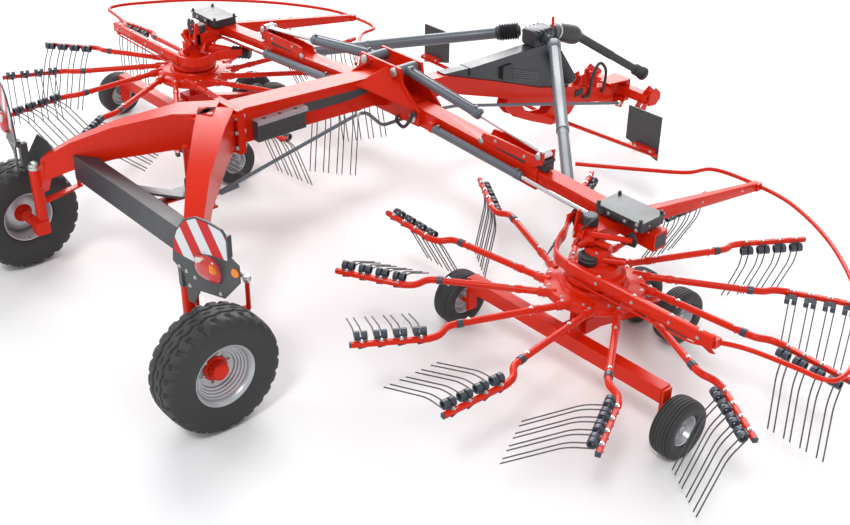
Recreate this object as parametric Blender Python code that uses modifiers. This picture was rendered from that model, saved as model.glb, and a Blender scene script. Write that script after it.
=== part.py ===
"""Twin rotor hay rake with a central swath, standing in its working position.

Units are metres, +X to the machine's right, +Y forwards to the tractor, +Z up.
Lengths along the machine are written from the rear axle, and every piece is
moved by AXLE_Y at the end so that the origin is on the ground at mid length.
"""
import math

import bmesh
import bpy
from mathutils import Matrix, Vector

# Overall layout, along Y from the rear axle
HITCH_FRONT_Y = 5.60
BIG_TYRE_R = 0.4225
AXLE_Y = -(HITCH_FRONT_Y - BIG_TYRE_R) / 2
SEAT = 0.0003

# Rear wheels and their kingpins
BIG_TYRE_W = 0.300
BIG_WHEEL_X = 1.371
BIG_RIM_R = 0.200
BIG_WHEEL_STEPS = 28
KING_X = 1.070
KING_Y = 0.030
KING_R = 0.045
KING_TOP_Z = 0.930
KING_FOOT_Z = 0.640
# gusset between a leg's end and its kingpin tube: x, z
KING_GUSSET = ((0.940, 0.990), (1.060, 0.910), (1.060, 0.700), (0.960, 0.860))
STEER_BALL = (1.170, 0.410, 0.780)

# Rear fork, from the flange on the main beam out to the kingpins
FORK_FLANGE_Y = 1.080
FORK_FLANGE_T = 0.030
FORK_FLANGE_W = 0.300
FORK_FLANGE_Z = (1.150, 1.490)
LEG_ACROSS = (0.70, 0.71)
# leg sections: x, y, z of the centre, width across, height
FORK_LEG = (
    (0.000, 0.990, 1.350, 0.260, 0.290),
    (0.220, 0.790, 1.330, 0.220, 0.280),
    (0.560, 0.470, 1.200, 0.160, 0.250),
    (0.830, 0.250, 1.055, 0.130, 0.220),
    (1.010, 0.080, 0.920, 0.110, 0.180),
)

# Dark cross beam between the legs and the strap that carries the steering lever
CROSS_BEAM_Y = 0.270
CROSS_BEAM_Z = 0.975
CROSS_BEAM_D = 0.120
CROSS_BEAM_H = 0.200
LEVER_Y = 0.720
LEVER_Z = 0.905

# Main beam and the saddle that carries both booms
BEAM_W = 0.200
# side profile: y, low z, high z
BEAM_SIDE = (
    (1.110, 1.205, 1.475),
    (2.350, 1.165, 1.410),
    (2.738, 1.080, 1.370),
)
BOOM_Y = 2.620
BOOM_HINGE_X = 0.410
BOOM_HINGE_Z = 1.130
SADDLE_T = 0.024
SADDLE_GAP = 0.190
# right half of a saddle plate, from its foot round to its top: x, z
SADDLE_HALF = ((0.470, 1.070), (0.470, 1.190), (0.270, 1.360), (0.245, 1.480))
GUSSET_T = 0.014
LIFT_PIN_X = 0.181
LIFT_PIN_Z = 1.433
LIFT_EYE_X = 1.698
LIFT_EYE_Z = 1.250
LIFT_BARREL_R = 0.040
LIFT_STEM_R = 0.020

# Drawbar with its gooseneck, and the steered hitch yoke
DRAWBAR_W = 0.140
# side profile: y, low z, high z
DRAWBAR_SIDE = (
    (BOOM_Y + SADDLE_GAP / 2 + SADDLE_T + SEAT, 1.040, 1.225),
    (3.150, 1.050, 1.205),
    (3.780, 0.845, 0.990),
    (4.300, 0.650, 0.800),
    (4.700, 0.545, 0.705),
    (5.300, 0.405, 0.545),
)
# curved side plates of the gooseneck and the window in them: y, z
SKIRT = (
    (3.912, 0.830), (3.881, 0.714), (3.975, 0.611), (4.210, 0.500), (4.480, 0.385), (4.618, 0.382),
    (4.748, 0.436), (4.819, 0.520), (4.790, 0.620), (4.600, 0.640), (4.300, 0.720),
)
SKIRT_HOLE = (
    (4.092, 0.680), (4.150, 0.600), (4.311, 0.530), (4.440, 0.520), (4.480, 0.580), (4.300, 0.640),
)
SKIRT_X = (0.050, 0.062)
GUARD_BRACE_X = 0.120
GUARD_BRACE_Y = 4.530
GUARD_BRACE_Z = 0.440
GUARD_BRACE_R = 0.018
GUARD_BRACE_END = (1.470, 4.235, 0.660)
# upright panel at each end of the brace: x, z
PANEL_OUTLINE = ((1.110, 0.690), (1.458, 0.600), (1.458, 0.990), (1.110, 0.990))
PANEL_Y = (4.262, 4.274)
YOKE_Y = 5.330
YOKE_Z = 0.475
YOKE_BOSS_R = 0.060
YOKE_BEAM_Y = 5.490
YOKE_HALF = 0.412
LINK_PIN_R = 0.014
STAND_X = YOKE_HALF - 0.082
STAND_Y = 5.420
STAND_Z = 0.355
STAND_R = 0.025
STAND_PIN_R = 0.010
STAND_PIN_SIDES = 16
STAND_PIN_PLAY = 0.0005
STEER_ROD_X = 0.200
STEER_ROD_R = 0.014
STEER_PIN_X = 0.290
STEER_ARM_TOP = 0.4181
TRACK_ROD_R = 0.013
LEVER_T = 0.018

# Gearbox and its dark support housing over the drawbar
SUPPORT_TOP_Z = 1.200
SUPPORT_W = 0.130
SUPPORT_H = 0.070
SUPPORT_Y = (3.430, 4.480)
PANEL_FRONT_Y = 4.700
PANEL_W = 0.100
GEARBOX_Y = 4.300
SHAFT_Z = SUPPORT_TOP_Z + SEAT + 0.065
SHAFT_JOINT_X = 0.190
SHAFT_END = (1.850, 2.750, 0.915)
JOINT_PIN_R = 0.014
INPUT_KNEE = (0, 4.820, 1.150)
INPUT_END = (0.250, 5.540, 0.670)
SHAFT_TUBE_R = 0.050

# Booms, from the hinge to the rotor head
BOOM_W = 0.150
BOOM_H = 0.150
BOOM_WALL = 0.010
BOOM_INNER_END_X = 1.700
BOOM_FALL = 0.050
OUTER_W = BOOM_W - 2 * (BOOM_WALL + SEAT)
OUTER_H = BOOM_H - 2 * (BOOM_WALL + SEAT)
OUTER_START_X = 1.000
OUTER_END_X = 2.780
HOOD_X = (2.330, 2.740)
HOOD_Y = (2.450, 2.700)
HOOD_TOP_Z = 1.175
BOOM_RETRACT = 0.350
LUG_GAP = 0.092
LUG_T = 0.016
# upper lug of the boom for the lift cylinder's eye: x, z
BOOM_LUG = (
    (1.060, 1.110), (1.130, 1.235), (1.240, 1.245), (1.660, 1.240), (1.740, 1.290), (1.740, 1.200),
    (1.600, 1.120),
)
# width cylinder beside the boom: barrel's and rod's ends along the boom
WIDTH_Y = BOOM_Y - BOOM_W / 2 - 0.045
WIDTH_BARREL_X = (0.655, 1.600)
WIDTH_BARREL_R = 0.032
WIDTH_ROD_X = (1.150, 2.380)
WIDTH_ROD_R = 0.016

# Rotors
ROTOR_X = 2.513
ROTOR_Y = 2.310
ARMS = 12
ARM_TIP_R = 1.775
ARM_Z = 0.665
TIP_Z = 0.640
ARM_R = 0.024
HUB_R = 0.345
HUB_BORE_R = 0.0709
HUB_STEPS = 24
COLUMN_R = 0.070
HUB_Z = (0.610, 0.725)
DRUM_R = 0.205
DRUM_Z = (0.735, 0.795)
TINE_R = 0.0062
TINE_LENGTH = 0.635
TINE_BEND_DEG = 22.0
RIGHT_PHASE_DEG = 13.1
LEFT_PHASE_DEG = 7.1
# arm line seen from above: distance out, offset ahead of the radius, height
ARM_LINE = (
    (HUB_R - 0.055, 0.150, 0.675),
    (ARM_TIP_R - 0.645, 0.052, 0.662),
    (ARM_TIP_R - 0.570, 0.112, 0.645),
    (ARM_TIP_R - 0.485, 0.112, TIP_Z),
)
CARRIER_TIP = (ARM_TIP_R, -0.020, TIP_Z)
CARRIER_SIZE = 0.042
TINE_PAIRS = 4
TINE_PAIR_STEP = 0.126
TINE_TWIN_STEP = 0.022
# tine lift angle by the arm's place round the rotor, from straight out to the side
LIFT_BY_ANGLE = (
    (0.0, 22.0),
    (45.0, 2.0),
    (75.0, -8.0),
    (150.0, -8.0),
    (190.0, 45.0),
    (225.0, 82.0),
    (290.0, 88.0),
    (315.0, 76.0),
    (345.0, 34.0),
    (360.0, 22.0),
)

# Rotor undercarriage
SMALL_TYRE_R = 0.205
SMALL_TYRE_W = 0.165
SMALL_AXLE_R = 0.016
SMALL_WHEEL_STEPS = 14
REAR_AXLE_DY = -0.290
REAR_TRACK = 1.010
FRONT_AXLE_DY = 0.745
FRONT_TRACK = 0.185
CARRIAGE_Z = 0.390

# Guards round each rotor
GUARD_Z = 0.850
GUARD_TUBE_R = 0.016
GUARD_OUT_X = 4.288
GUARD_BAR_X = (2.500, 3.620)
GUARD_BAR_Y = 2.115
GUARD_BAR_W = 0.050
GUARD_BAR_H = 0.085
FRONT_ARM_END = (2.475, 4.150, 0.800)
# hoop tube outside the rotor
GUARD_HOOP = (
    (3.600, 2.150, 0.840), (3.760, 2.290, 0.800), (4.050, 2.345, 0.800), (4.225, 2.370, 0.800),
    (GUARD_OUT_X, 2.460, 0.800), (4.230, 2.700, 0.800), (3.920, 3.260, 0.800), (3.400, 3.780, 0.800),
    (2.870, 4.100, 0.800), (2.475, 4.180, 0.800), (2.100, 4.150, 0.800), (2.000, 3.920, 0.810),
    (1.760, 3.680, 0.820), (1.370, 3.340, 0.830),
)
# flat band that curves round the rotor head and up to the boom
GUARD_BAND_T = 0.024
GUARD_BAND = (
    (2.560, 2.115, GUARD_Z), (2.380, 2.120, GUARD_Z), (2.270, 2.165, 0.855), (2.205, 2.270, 0.880),
    (2.180, 2.350, 0.910), (2.130, 2.420, 0.920), (2.070, 2.500, 0.920),
)

# Warning boards, turned a little about the upright at the kingpin; outline: distance out, height
BOARD_TURN_DEG = 13.6
BOARD_PLACE = {1: (1.150, -0.050), -1: (-1.150, -0.050)}
BOARD_T = 0.012
BOARD_OUTLINE = (
    (0.050, 0.860), (0.100, 0.860), (0.160, 0.975), (0.370, 0.995), (0.480, 1.150), (0.480, 1.270),
    (0.410, 1.310), (0.410, 1.400), (0.360, 1.465), (0.270, 1.500), (0.170, 1.500), (0.070, 1.450),
    (0.000, 1.360), (-0.040, 1.265), (-0.060, 1.055), (0.020, 1.045),
)

COLOURS = {
    # name: red, green, blue (linear), roughness, metallic
    "red_paint": (0.610, 0.022, 0.012, 0.35, 0.0),
    "grey_paint": (0.045, 0.047, 0.052, 0.45, 0.0),
    "tyre_rubber": (0.022, 0.022, 0.023, 0.85, 0.0),
    "rim_silver": (0.480, 0.490, 0.510, 0.35, 0.6),
    "chrome_steel": (0.600, 0.610, 0.630, 0.15, 1.0),
    "shaft_guard": (0.090, 0.100, 0.115, 0.50, 0.0),
    "board_white": (0.700, 0.700, 0.700, 0.40, 0.0),
}

for old in list(bpy.data.objects):
    bpy.data.objects.remove(old)

rake = bpy.data.collections.new("twin_rotor_hay_rake")
bpy.context.scene.collection.children.link(rake)
guides = bpy.data.collections.new("guides")
bpy.context.scene.collection.children.link(guides)


def finish(name):
    """The paint, rubber or metal of a piece, made once."""
    if name in bpy.data.materials:
        return bpy.data.materials[name]
    red, green, blue, rough, metal = COLOURS[name]
    made = bpy.data.materials.new(name)
    made.use_nodes = True
    shader = made.node_tree.nodes["Principled BSDF"]
    shader.inputs["Base Color"].default_value = (red, green, blue, 1.0)
    shader.inputs["Roughness"].default_value = rough
    shader.inputs["Metallic"].default_value = metal
    return made


def loose(bm):
    """A bmesh as an unfinished shape, not yet in the rake."""
    mesh = bpy.data.meshes.new("shape")
    bm.to_mesh(mesh)
    bm.free()
    made = bpy.data.objects.new("shape", mesh)
    guides.objects.link(made)
    return made


def bake(obj):
    """A shape with its modifiers or curve turned into one plain closed mesh."""
    bpy.context.view_layer.update()
    graph = bpy.context.evaluated_depsgraph_get()
    mesh = bpy.data.meshes.new_from_object(obj.evaluated_get(graph))
    bm = bmesh.new()
    bm.from_mesh(mesh)
    bm.transform(obj.matrix_world)
    bmesh.ops.remove_doubles(bm, verts=bm.verts, dist=1e-5)
    bmesh.ops.recalc_face_normals(bm, faces=bm.faces)
    bpy.data.objects.remove(obj)
    return loose(bm)


def block(size, centre, turn=None):
    """A box of a size about a centre, turned by a matrix."""
    bm = bmesh.new()
    bmesh.ops.create_cube(bm, size=1.0)
    bmesh.ops.scale(bm, vec=size, verts=bm.verts)
    if turn is not None:
        bm.transform(turn.to_4x4())
    bmesh.ops.translate(bm, vec=centre, verts=bm.verts)
    return loose(bm)


def ball(centre, radius):
    """A small round knob."""
    bm = bmesh.new()
    bmesh.ops.create_uvsphere(bm, u_segments=10, v_segments=6, radius=radius)
    bmesh.ops.translate(bm, vec=centre, verts=bm.verts)
    return loose(bm)


def rod(start, end, radius, sides=12, end_radius=None):
    """A round bar, or a cone, between two points."""
    start = Vector(start)
    end = Vector(end)
    along = end - start
    bm = bmesh.new()
    bmesh.ops.create_cone(bm, cap_ends=True, segments=sides, radius1=radius,
                          radius2=radius if end_radius is None else end_radius,
                          depth=along.length)
    bm.transform(along.to_track_quat("Z", "Y").to_matrix().to_4x4())
    bmesh.ops.translate(bm, vec=(start + end) / 2, verts=bm.verts)
    return loose(bm)


def pipe(points, radius, resolution=2):
    """A round tube along straight runs between points."""
    data = bpy.data.curves.new("pipe", "CURVE")
    data.dimensions = "3D"
    line = data.splines.new("POLY")
    line.points.add(len(points) - 1)
    for spot, place in zip(line.points, points):
        spot.co = (*place, 1.0)
    data.bevel_depth = radius
    data.bevel_resolution = resolution
    data.use_fill_caps = True
    made = bpy.data.objects.new("pipe", data)
    guides.objects.link(made)
    return bake(made)


def smooth_route(points, per_span=5):
    """Points on a Catmull-Rom curve through a few route points."""
    spots = [Vector(p) for p in points]
    spots = [2 * spots[0] - spots[1]] + spots + [2 * spots[-1] - spots[-2]]
    route = []
    for a, b, c, d in zip(spots, spots[1:], spots[2:], spots[3:]):
        for step in range(per_span):
            t = step / per_span
            route.append(0.5 * (2 * b + (c - a) * t + (2 * a - 5 * b + 4 * c - d) * t ** 2
                                + (3 * b - a - 3 * c + d) * t ** 3))
    route.append(spots[-2])
    return route


PLANES = {
    "side": Matrix(((0, 0, 1), (1, 0, 0), (0, 1, 0))),
    "front": Matrix(((1, 0, 0), (0, 0, -1), (0, 1, 0))),
    "top": Matrix.Identity(3),
}


def plate(outline, low, high, plane):
    """A flat outline given as (y, z), (x, z) or (x, y) points, thick from low to high."""
    data = bpy.data.curves.new("plate", "CURVE")
    data.dimensions = "2D"
    data.fill_mode = "BOTH"
    data.extrude = (high - low) / 2
    line = data.splines.new("POLY")
    line.points.add(len(outline) - 1)
    for spot, (a, b) in zip(line.points, outline):
        spot.co = (a, b, 0.0, 1.0)
    line.use_cyclic_u = True
    made = bpy.data.objects.new("plate", data)
    guides.objects.link(made)
    middle = (low + high) / 2
    shift = {"side": (middle, 0, 0), "front": (0, middle, 0), "top": (0, 0, middle)}[plane]
    made.matrix_world = Matrix.Translation(shift) @ PLANES[plane].to_4x4()
    return bake(made)


def turned(profile, centre, axis, steps=32):
    """A ring or disc: (radius, along) points turned about an axis through a centre."""
    bm = bmesh.new()
    spots = [bm.verts.new((radius, 0.0, along)) for radius, along in profile]
    for a, b in zip(spots, spots[1:] + spots[:1]):
        if a.co.x > 0 or b.co.x > 0:
            bm.edges.new((a, b))
    made = loose(bm)
    screw = made.modifiers.new("turn", "SCREW")
    screw.steps = steps
    screw.render_steps = steps
    screw.use_merge_vertices = True
    screw.merge_threshold = 1e-5
    made.matrix_world = (Matrix.Translation(centre)
                         @ Vector(axis).to_track_quat("Z", "Y").to_matrix().to_4x4())
    return bake(made)


def loft(rings):
    """A closed solid skinned through rings of corners, each with as many points."""
    bm = bmesh.new()
    rows = [[bm.verts.new(point) for point in ring] for ring in rings]
    for row, after in zip(rows, rows[1:]):
        for k in range(len(row)):
            nxt = (k + 1) % len(row)
            bm.faces.new((row[k], row[nxt], after[nxt], after[k]))
    bm.faces.new(rows[0])
    bm.faces.new(rows[-1])
    bmesh.ops.recalc_face_normals(bm, faces=bm.faces)
    return loose(bm)


def box_ring(centre, across, width, up, height):
    """Four corners of a box section."""
    centre = Vector(centre)
    side = Vector(across).normalized() * width / 2
    lift = Vector(up).normalized() * height / 2
    return [centre - side - lift, centre + side - lift, centre + side + lift, centre - side + lift]


def fuse(shapes, mode="UNION"):
    """Shapes joined into one solid, or the first cut by the rest."""
    first, rest = shapes[0], shapes[1:]
    if not rest:
        return first
    tools = bpy.data.collections.new("tools")
    for shape in rest:
        tools.objects.link(shape)
    cut = first.modifiers.new("join", "BOOLEAN")
    cut.operation = mode
    cut.operand_type = "COLLECTION"
    cut.collection = tools
    cut.solver = "EXACT"
    joined = bake(first)
    for shape in rest:
        bpy.data.objects.remove(shape)
    bpy.data.collections.remove(tools)
    return joined


def cut_away(shape, cutters):
    """A shape with other shapes cut out of it."""
    return fuse([shape] + list(cutters), "DIFFERENCE")


def mirrored(place, side):
    """A point on the right-hand side, or its twin on the left."""
    return (place[0] * side, place[1], place[2])


def keep(name, shape, colour):
    """A finished piece of the rake, in its own node."""
    bm = bmesh.new()
    bm.from_mesh(shape.data)
    bmesh.ops.translate(bm, vec=(0.0, AXLE_Y, 0.0), verts=bm.verts)
    mesh = bpy.data.meshes.new(name)
    bm.to_mesh(mesh)
    bm.free()
    mesh.materials.append(finish(colour))
    mesh.shade_smooth()
    mesh.set_sharp_from_angle(angle=math.radians(35))
    made = bpy.data.objects.new(name, mesh)
    rake.objects.link(made)
    bpy.data.objects.remove(shape)
    return made


def hang(name, place, nodes):
    """An empty on a joint's axis that carries the nodes of one body."""
    pivot = bpy.data.objects.new(name, None)
    pivot.location = (place[0], place[1] + AXLE_Y, place[2])
    rake.objects.link(pivot)
    for node in nodes:
        node.parent = pivot
        node.matrix_parent_inverse = Matrix.Translation(pivot.location).inverted()
    return pivot


def boom_z(x):
    """Height of the boom's centre line at a distance from the machine's middle."""
    return BOOM_HINGE_Z - BOOM_FALL * (abs(x) - BOOM_HINGE_X)


def rear_fork():
    """Two tapered legs from the bolted flange to the kingpin tubes."""
    shapes = [block((FORK_FLANGE_W, FORK_FLANGE_T, FORK_FLANGE_Z[1] - FORK_FLANGE_Z[0]),
                    (0, FORK_FLANGE_Y, sum(FORK_FLANGE_Z) / 2))]
    shapes.append(block((0.220, 0.180, 0.300), (0, 0.985, 1.310)))
    for side in (1, -1):
        rings = []
        for x, y, z, width, height in FORK_LEG:
            across = (LEG_ACROSS[0], side * LEG_ACROSS[1], 0)
            rings.append(box_ring((side * x, y, z), across, width, (0, 0, 1), height))
        shapes.append(loft(rings))
        foot = (side * KING_X, KING_Y, KING_FOOT_Z)
        top = (side * KING_X, KING_Y, KING_TOP_Z)
        shapes.append(rod(foot, top, KING_R, 14))
        gusset = [(side * x, z) for x, z in KING_GUSSET]
        shapes.append(plate(gusset, KING_Y + 0.010, KING_Y + 0.080, "front"))
    return keep("rear_fork", fuse(shapes), "red_paint")


def leg_inner_x(y):
    """Where the inner face of a leg stands, seen from above, in front of the rear axle."""
    corners = []
    for x, leg_y, _, width, _ in FORK_LEG[2:4]:
        corners.append(Vector((x, leg_y)) - Vector(LEG_ACROSS).normalized() * width / 2)
    first, last = corners
    return first.x + (last.x - first.x) * (y - first.y) / (last.y - first.y)


def cross_beam():
    """Dark box beam between the legs, with the strap that holds the steering lever."""
    rear, front = CROSS_BEAM_Y - CROSS_BEAM_D / 2, CROSS_BEAM_Y + CROSS_BEAM_D / 2
    rear_x, front_x = leg_inner_x(rear) - 2 * SEAT, leg_inner_x(front) - 2 * SEAT
    footprint = [(-rear_x, rear), (rear_x, rear), (front_x, front), (-front_x, front)]
    shapes = [plate(footprint, CROSS_BEAM_Z - CROSS_BEAM_H / 2, CROSS_BEAM_Z + CROSS_BEAM_H / 2, "top")]
    strap = [(CROSS_BEAM_Y + 0.040, 1.070), (CROSS_BEAM_Y + 0.040, 1.050),
             (0.600, 0.9143), (LEVER_Y + 0.090, 0.9143), (LEVER_Y + 0.090, 0.930), (0.610, 0.930)]
    shapes.append(plate(strap, -0.080, 0.080, "side"))
    shapes.append(rod((0, LEVER_Y, 0.925), (0, LEVER_Y, 1.150), 0.024, 12))
    return keep("cross_beam", fuse(shapes), "grey_paint")


def main_beam():
    """Box beam from the fork flange to the saddle with the boom and cylinder lugs."""
    rings = []
    for y, low, high in BEAM_SIDE:
        rings.append(box_ring((0, y, (low + high) / 2), (1, 0, 0), BEAM_W, (0, 0, 1), high - low))
    shapes = [loft(rings)]
    foot = [(-x, z) for x, z in SADDLE_HALF[:1]]
    lug = foot + list(SADDLE_HALF) + [(-x, z) for x, z in SADDLE_HALF[:0:-1]]
    for y in (BOOM_Y - SADDLE_GAP / 2 - SADDLE_T, BOOM_Y + SADDLE_GAP / 2):
        shapes.append(plate(lug, y, y + SADDLE_T, "front"))
    shapes.append(block((0.540, SADDLE_GAP + 0.010, 0.100), (0, BOOM_Y, 1.125)))
    rear = BOOM_Y - SADDLE_GAP / 2 - SADDLE_T / 2
    for side in (1, -1):
        upper = [(side * 0.090, 2.180, 1.395), (side * 0.090, rear, 1.460), (side * 0.440, rear, 1.190)]
        shapes.append(loft([upper, [(x, y, z - GUSSET_T) for x, y, z in upper]]))
    flange = block((FORK_FLANGE_W, FORK_FLANGE_T, FORK_FLANGE_Z[1] - FORK_FLANGE_Z[0]),
                   (0, FORK_FLANGE_Y + FORK_FLANGE_T + SEAT, sum(FORK_FLANGE_Z) / 2))
    shapes.append(flange)
    return keep("main_beam", fuse(shapes), "red_paint")


def drawbar():
    """Gooseneck drawbar with the hanging plate of the front guards."""
    rings = []
    for y, low, high in DRAWBAR_SIDE:
        rings.append(box_ring((0, y, (low + high) / 2), (1, 0, 0), DRAWBAR_W, (0, 0, 1), high - low))
    shapes = [loft(rings)]
    shapes.append(rod((0, YOKE_Y, YOKE_Z - 0.0912), (0, YOKE_Y, YOKE_Z + 0.0912), YOKE_BOSS_R, 16))
    for low, high in ((-SKIRT_X[1], -SKIRT_X[0]), SKIRT_X):
        skirt = plate(SKIRT, low, high, "side")
        shapes.append(cut_away(skirt, [plate(SKIRT_HOLE, low - 0.010, high + 0.010, "side")]))
    bore = rod((-DRAWBAR_W, GUARD_BRACE_Y, GUARD_BRACE_Z), (DRAWBAR_W, GUARD_BRACE_Y, GUARD_BRACE_Z),
               GUARD_BRACE_R + 0.001, 12)
    return keep("drawbar", cut_away(fuse(shapes), [bore]), "red_paint")


def support_housing():
    """Dark beam that carries the gearbox, with closed side panels down to the drawbar."""
    y0, y1 = SUPPORT_Y
    shapes = [block((SUPPORT_W, y1 - y0, SUPPORT_H), (0, (y0 + y1) / 2, SUPPORT_TOP_Z - SUPPORT_H / 2))]
    seam = [(y, high + 2 * SEAT) for y, _, high in DRAWBAR_SIDE[1:5]]
    under = seam + [(PANEL_FRONT_Y, 0.800), (y1 - 0.010, SUPPORT_TOP_Z - SUPPORT_H),
                    (seam[0][0], SUPPORT_TOP_Z + 0.015)]
    shapes.append(plate(under, -PANEL_W / 2, PANEL_W / 2, "side"))
    return keep("gearbox_support", fuse(shapes), "grey_paint")


def gearbox():
    """Central gearbox with two side outputs and the input at the front."""
    base = SUPPORT_TOP_Z + SEAT
    shapes = [block((0.180, 0.240, 0.150), (0, GEARBOX_Y, base + 0.075))]
    for side in (1, -1):
        joint = (side * SHAFT_JOINT_X, GEARBOX_Y, SHAFT_Z)
        neck = (side * 0.150, GEARBOX_Y, SHAFT_Z)
        shapes.append(rod((side * 0.080, GEARBOX_Y, SHAFT_Z), neck, 0.055, 14))
        shapes.append(rod((side * 0.140, GEARBOX_Y, SHAFT_Z), joint, JOINT_PIN_R * 0.8, 8))
        shapes.append(ball(joint, JOINT_PIN_R))
    shapes.append(rod((0, GEARBOX_Y + 0.1, base + 0.065), (0, GEARBOX_Y + 0.180, base + 0.065), 0.060, 16))
    return keep("gearbox", fuse(shapes), "grey_paint")


def pto_shaft():
    """Guarded drive shaft from the gearbox, hanging down to the hitch."""
    face = Vector((0, GEARBOX_Y + 0.180 + SEAT, SHAFT_Z))
    start = face + Vector((0, 0.040, 0))
    knee = Vector(INPUT_KNEE)
    end = Vector(INPUT_END)
    cone = (knee - start).normalized()
    away = (end - knee).normalized()
    shapes = [rod(face, start, 0.066, 14)]
    shapes.append(rod(start - cone * 0.010, knee - cone * 0.080, 0.074, 14, 0.084))
    shapes.append(rod(knee - cone * 0.100, knee + cone * 0.010, 0.088, 14, 0.062))
    shapes.append(rod(knee - away * 0.030, end, 0.040, 10))
    shapes.append(rod(end - away * 0.130, end, 0.052, 12, 0.064))
    return keep("pto_shaft", fuse(shapes), "shaft_guard")


def front_guard():
    """Cross tube under the drawbar with an upright panel at each end."""
    inner = (GUARD_BRACE_X, GUARD_BRACE_Y, GUARD_BRACE_Z)
    route = [mirrored(GUARD_BRACE_END, -1), mirrored(inner, -1), inner, GUARD_BRACE_END]
    shapes = [pipe(route, GUARD_BRACE_R, 2)]
    for side in (1, -1):
        panel = [(side * x, z) for x, z in PANEL_OUTLINE]
        shapes.append(plate(panel, *PANEL_Y, "front"))
        shapes.append(block((0.220, 0.060, 0.030), (side * 1.330, 4.250, 0.684)))
    return keep("front_guard", fuse(shapes), "grey_paint")


def warning_board(side):
    """Upright warning board with its lamp, on a bracket from the leg's end."""
    px, py = BOARD_PLACE[side]
    turn = Matrix.Translation((px, py, 0)) @ Matrix.Rotation(side * math.radians(BOARD_TURN_DEG), 4, "Z")
    outline = [(side * out, z) for out, z in BOARD_OUTLINE]
    shapes = [plate(outline, -BOARD_T / 2, BOARD_T / 2, "front")]
    shapes.append(block((0.230, 0.060, 0.110), (side * 0.240, -0.034, 1.150)))
    shapes.append(block((0.130, 0.030, 0.070), (side * 0.005, BOARD_T / 2 + 0.013, 1.080)))
    for shape in shapes:
        shape.data.transform(turn)
    foot, head = KING_TOP_Z + SEAT, 1.115
    post = (side * (KING_X + 0.015), KING_Y - 0.040, (head + foot) / 2)
    shapes.append(block((0.090, 0.090, head - foot), post))
    return keep("warning_board_" + tag(side), fuse(shapes), "grey_paint")


def tag(side):
    """The word for a side of the machine."""
    return "right" if side > 0 else "left"


def hitch_yoke():
    """Headstock for the tractor's two lower links, on its upright pivot."""
    shapes = [block((2 * YOKE_HALF - 0.060, 0.090, 0.090), (0, YOKE_BEAM_Y, YOKE_Z))]
    for z in (YOKE_Z - 0.100, YOKE_Z + 0.100):
        jaw = [(-0.100, YOKE_BEAM_Y - 0.020), (-0.060, YOKE_Y - 0.060), (0.060, YOKE_Y - 0.060),
               (0.100, YOKE_BEAM_Y - 0.020), (0.100, YOKE_BEAM_Y + 0.040), (-0.100, YOKE_BEAM_Y + 0.040)]
        shapes.append(plate(jaw, z - 0.0085, z + 0.0085, "top"))
    shapes.append(block((0.200, 0.060, 0.200), (0, YOKE_BEAM_Y + 0.010, YOKE_Z)))
    cheek = [(YOKE_BEAM_Y - 0.050, YOKE_Z - 0.050), (YOKE_BEAM_Y + 0.050, YOKE_Z - 0.060),
             (HITCH_FRONT_Y, YOKE_Z - 0.010), (HITCH_FRONT_Y, YOKE_Z + 0.050),
             (YOKE_BEAM_Y + 0.040, YOKE_Z + 0.110), (YOKE_BEAM_Y - 0.040, YOKE_Z + 0.060)]
    for side in (1, -1):
        for x in (YOKE_HALF - 0.080, YOKE_HALF):
            mid = side * x
            shapes.append(plate(cheek, mid - 0.008, mid + 0.008, "side"))
        pin = (side * (YOKE_HALF - 0.080), HITCH_FRONT_Y - 0.045, YOKE_Z + 0.020)
        shapes.append(rod(pin, (side * YOKE_HALF, pin[1], pin[2]), LINK_PIN_R, 8))
    ear = [(STAND_Y - 0.035, STAND_Z - 0.030), (STAND_Y + 0.030, STAND_Z - 0.030),
           (YOKE_BEAM_Y + 0.020, YOKE_Z), (YOKE_BEAM_Y - 0.040, YOKE_Z), (STAND_Y - 0.035, STAND_Z + 0.040)]
    for x in (STAND_X - STAND_R - 0.014, STAND_X + STAND_R + 0.006):
        shapes.append(plate(ear, x, x + 0.008, "side"))
    reach = STAND_R + 0.020
    shapes.append(rod((STAND_X - reach, STAND_Y, STAND_Z), (STAND_X + reach, STAND_Y, STAND_Z),
                      STAND_PIN_R, STAND_PIN_SIDES))
    arm = [(0.100, YOKE_BEAM_Y), (STEER_ROD_X + 0.030, 5.270), (STEER_ROD_X - 0.030, 5.250),
           (0.060, YOKE_BEAM_Y - 0.060)]
    shapes.append(plate(arm, STEER_ARM_TOP - 0.018, STEER_ARM_TOP, "top"))
    return keep("hitch_yoke", fuse(shapes), "red_paint")


def stand_leg():
    """Folding leg of the parking stand with its foot plate."""
    leg_top = STAND_Z + 0.025
    shapes = [block((2 * STAND_R, 0.050, leg_top - 0.004), (STAND_X, STAND_Y, (leg_top + 0.004) / 2))]
    shapes.append(block((0.140, 0.120, 0.012), (STAND_X, STAND_Y, 0.006)))
    bore = rod((STAND_X - 0.1, STAND_Y, STAND_Z), (STAND_X + 0.1, STAND_Y, STAND_Z),
               STAND_PIN_R + STAND_PIN_PLAY, STAND_PIN_SIDES)
    return keep("stand_leg", cut_away(fuse(shapes), [bore]), "red_paint")


def steering_rod():
    """Long rod from the yoke along the drawbar and under the boom to the centre lever."""
    x = STEER_ROD_X
    route = [(x, 5.280, 0.432), (x, 3.150, 0.985), (x, 2.780, 1.030), (x, 2.360, 1.030),
             (x + 0.030, 2.180, 1.200), (x + 0.040, 2.090, 1.220), (STEER_PIN_X, LEVER_Y + 0.010, 0.985)]
    shapes = [pipe(route, STEER_ROD_R)]
    foot = LEVER_Z + LEVER_T / 2 + SEAT
    shapes.append(rod((STEER_PIN_X, LEVER_Y, foot), (STEER_PIN_X, LEVER_Y, 1.000), 0.022, 12))
    return keep("steering_rod", fuse(shapes), "shaft_guard")


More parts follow.
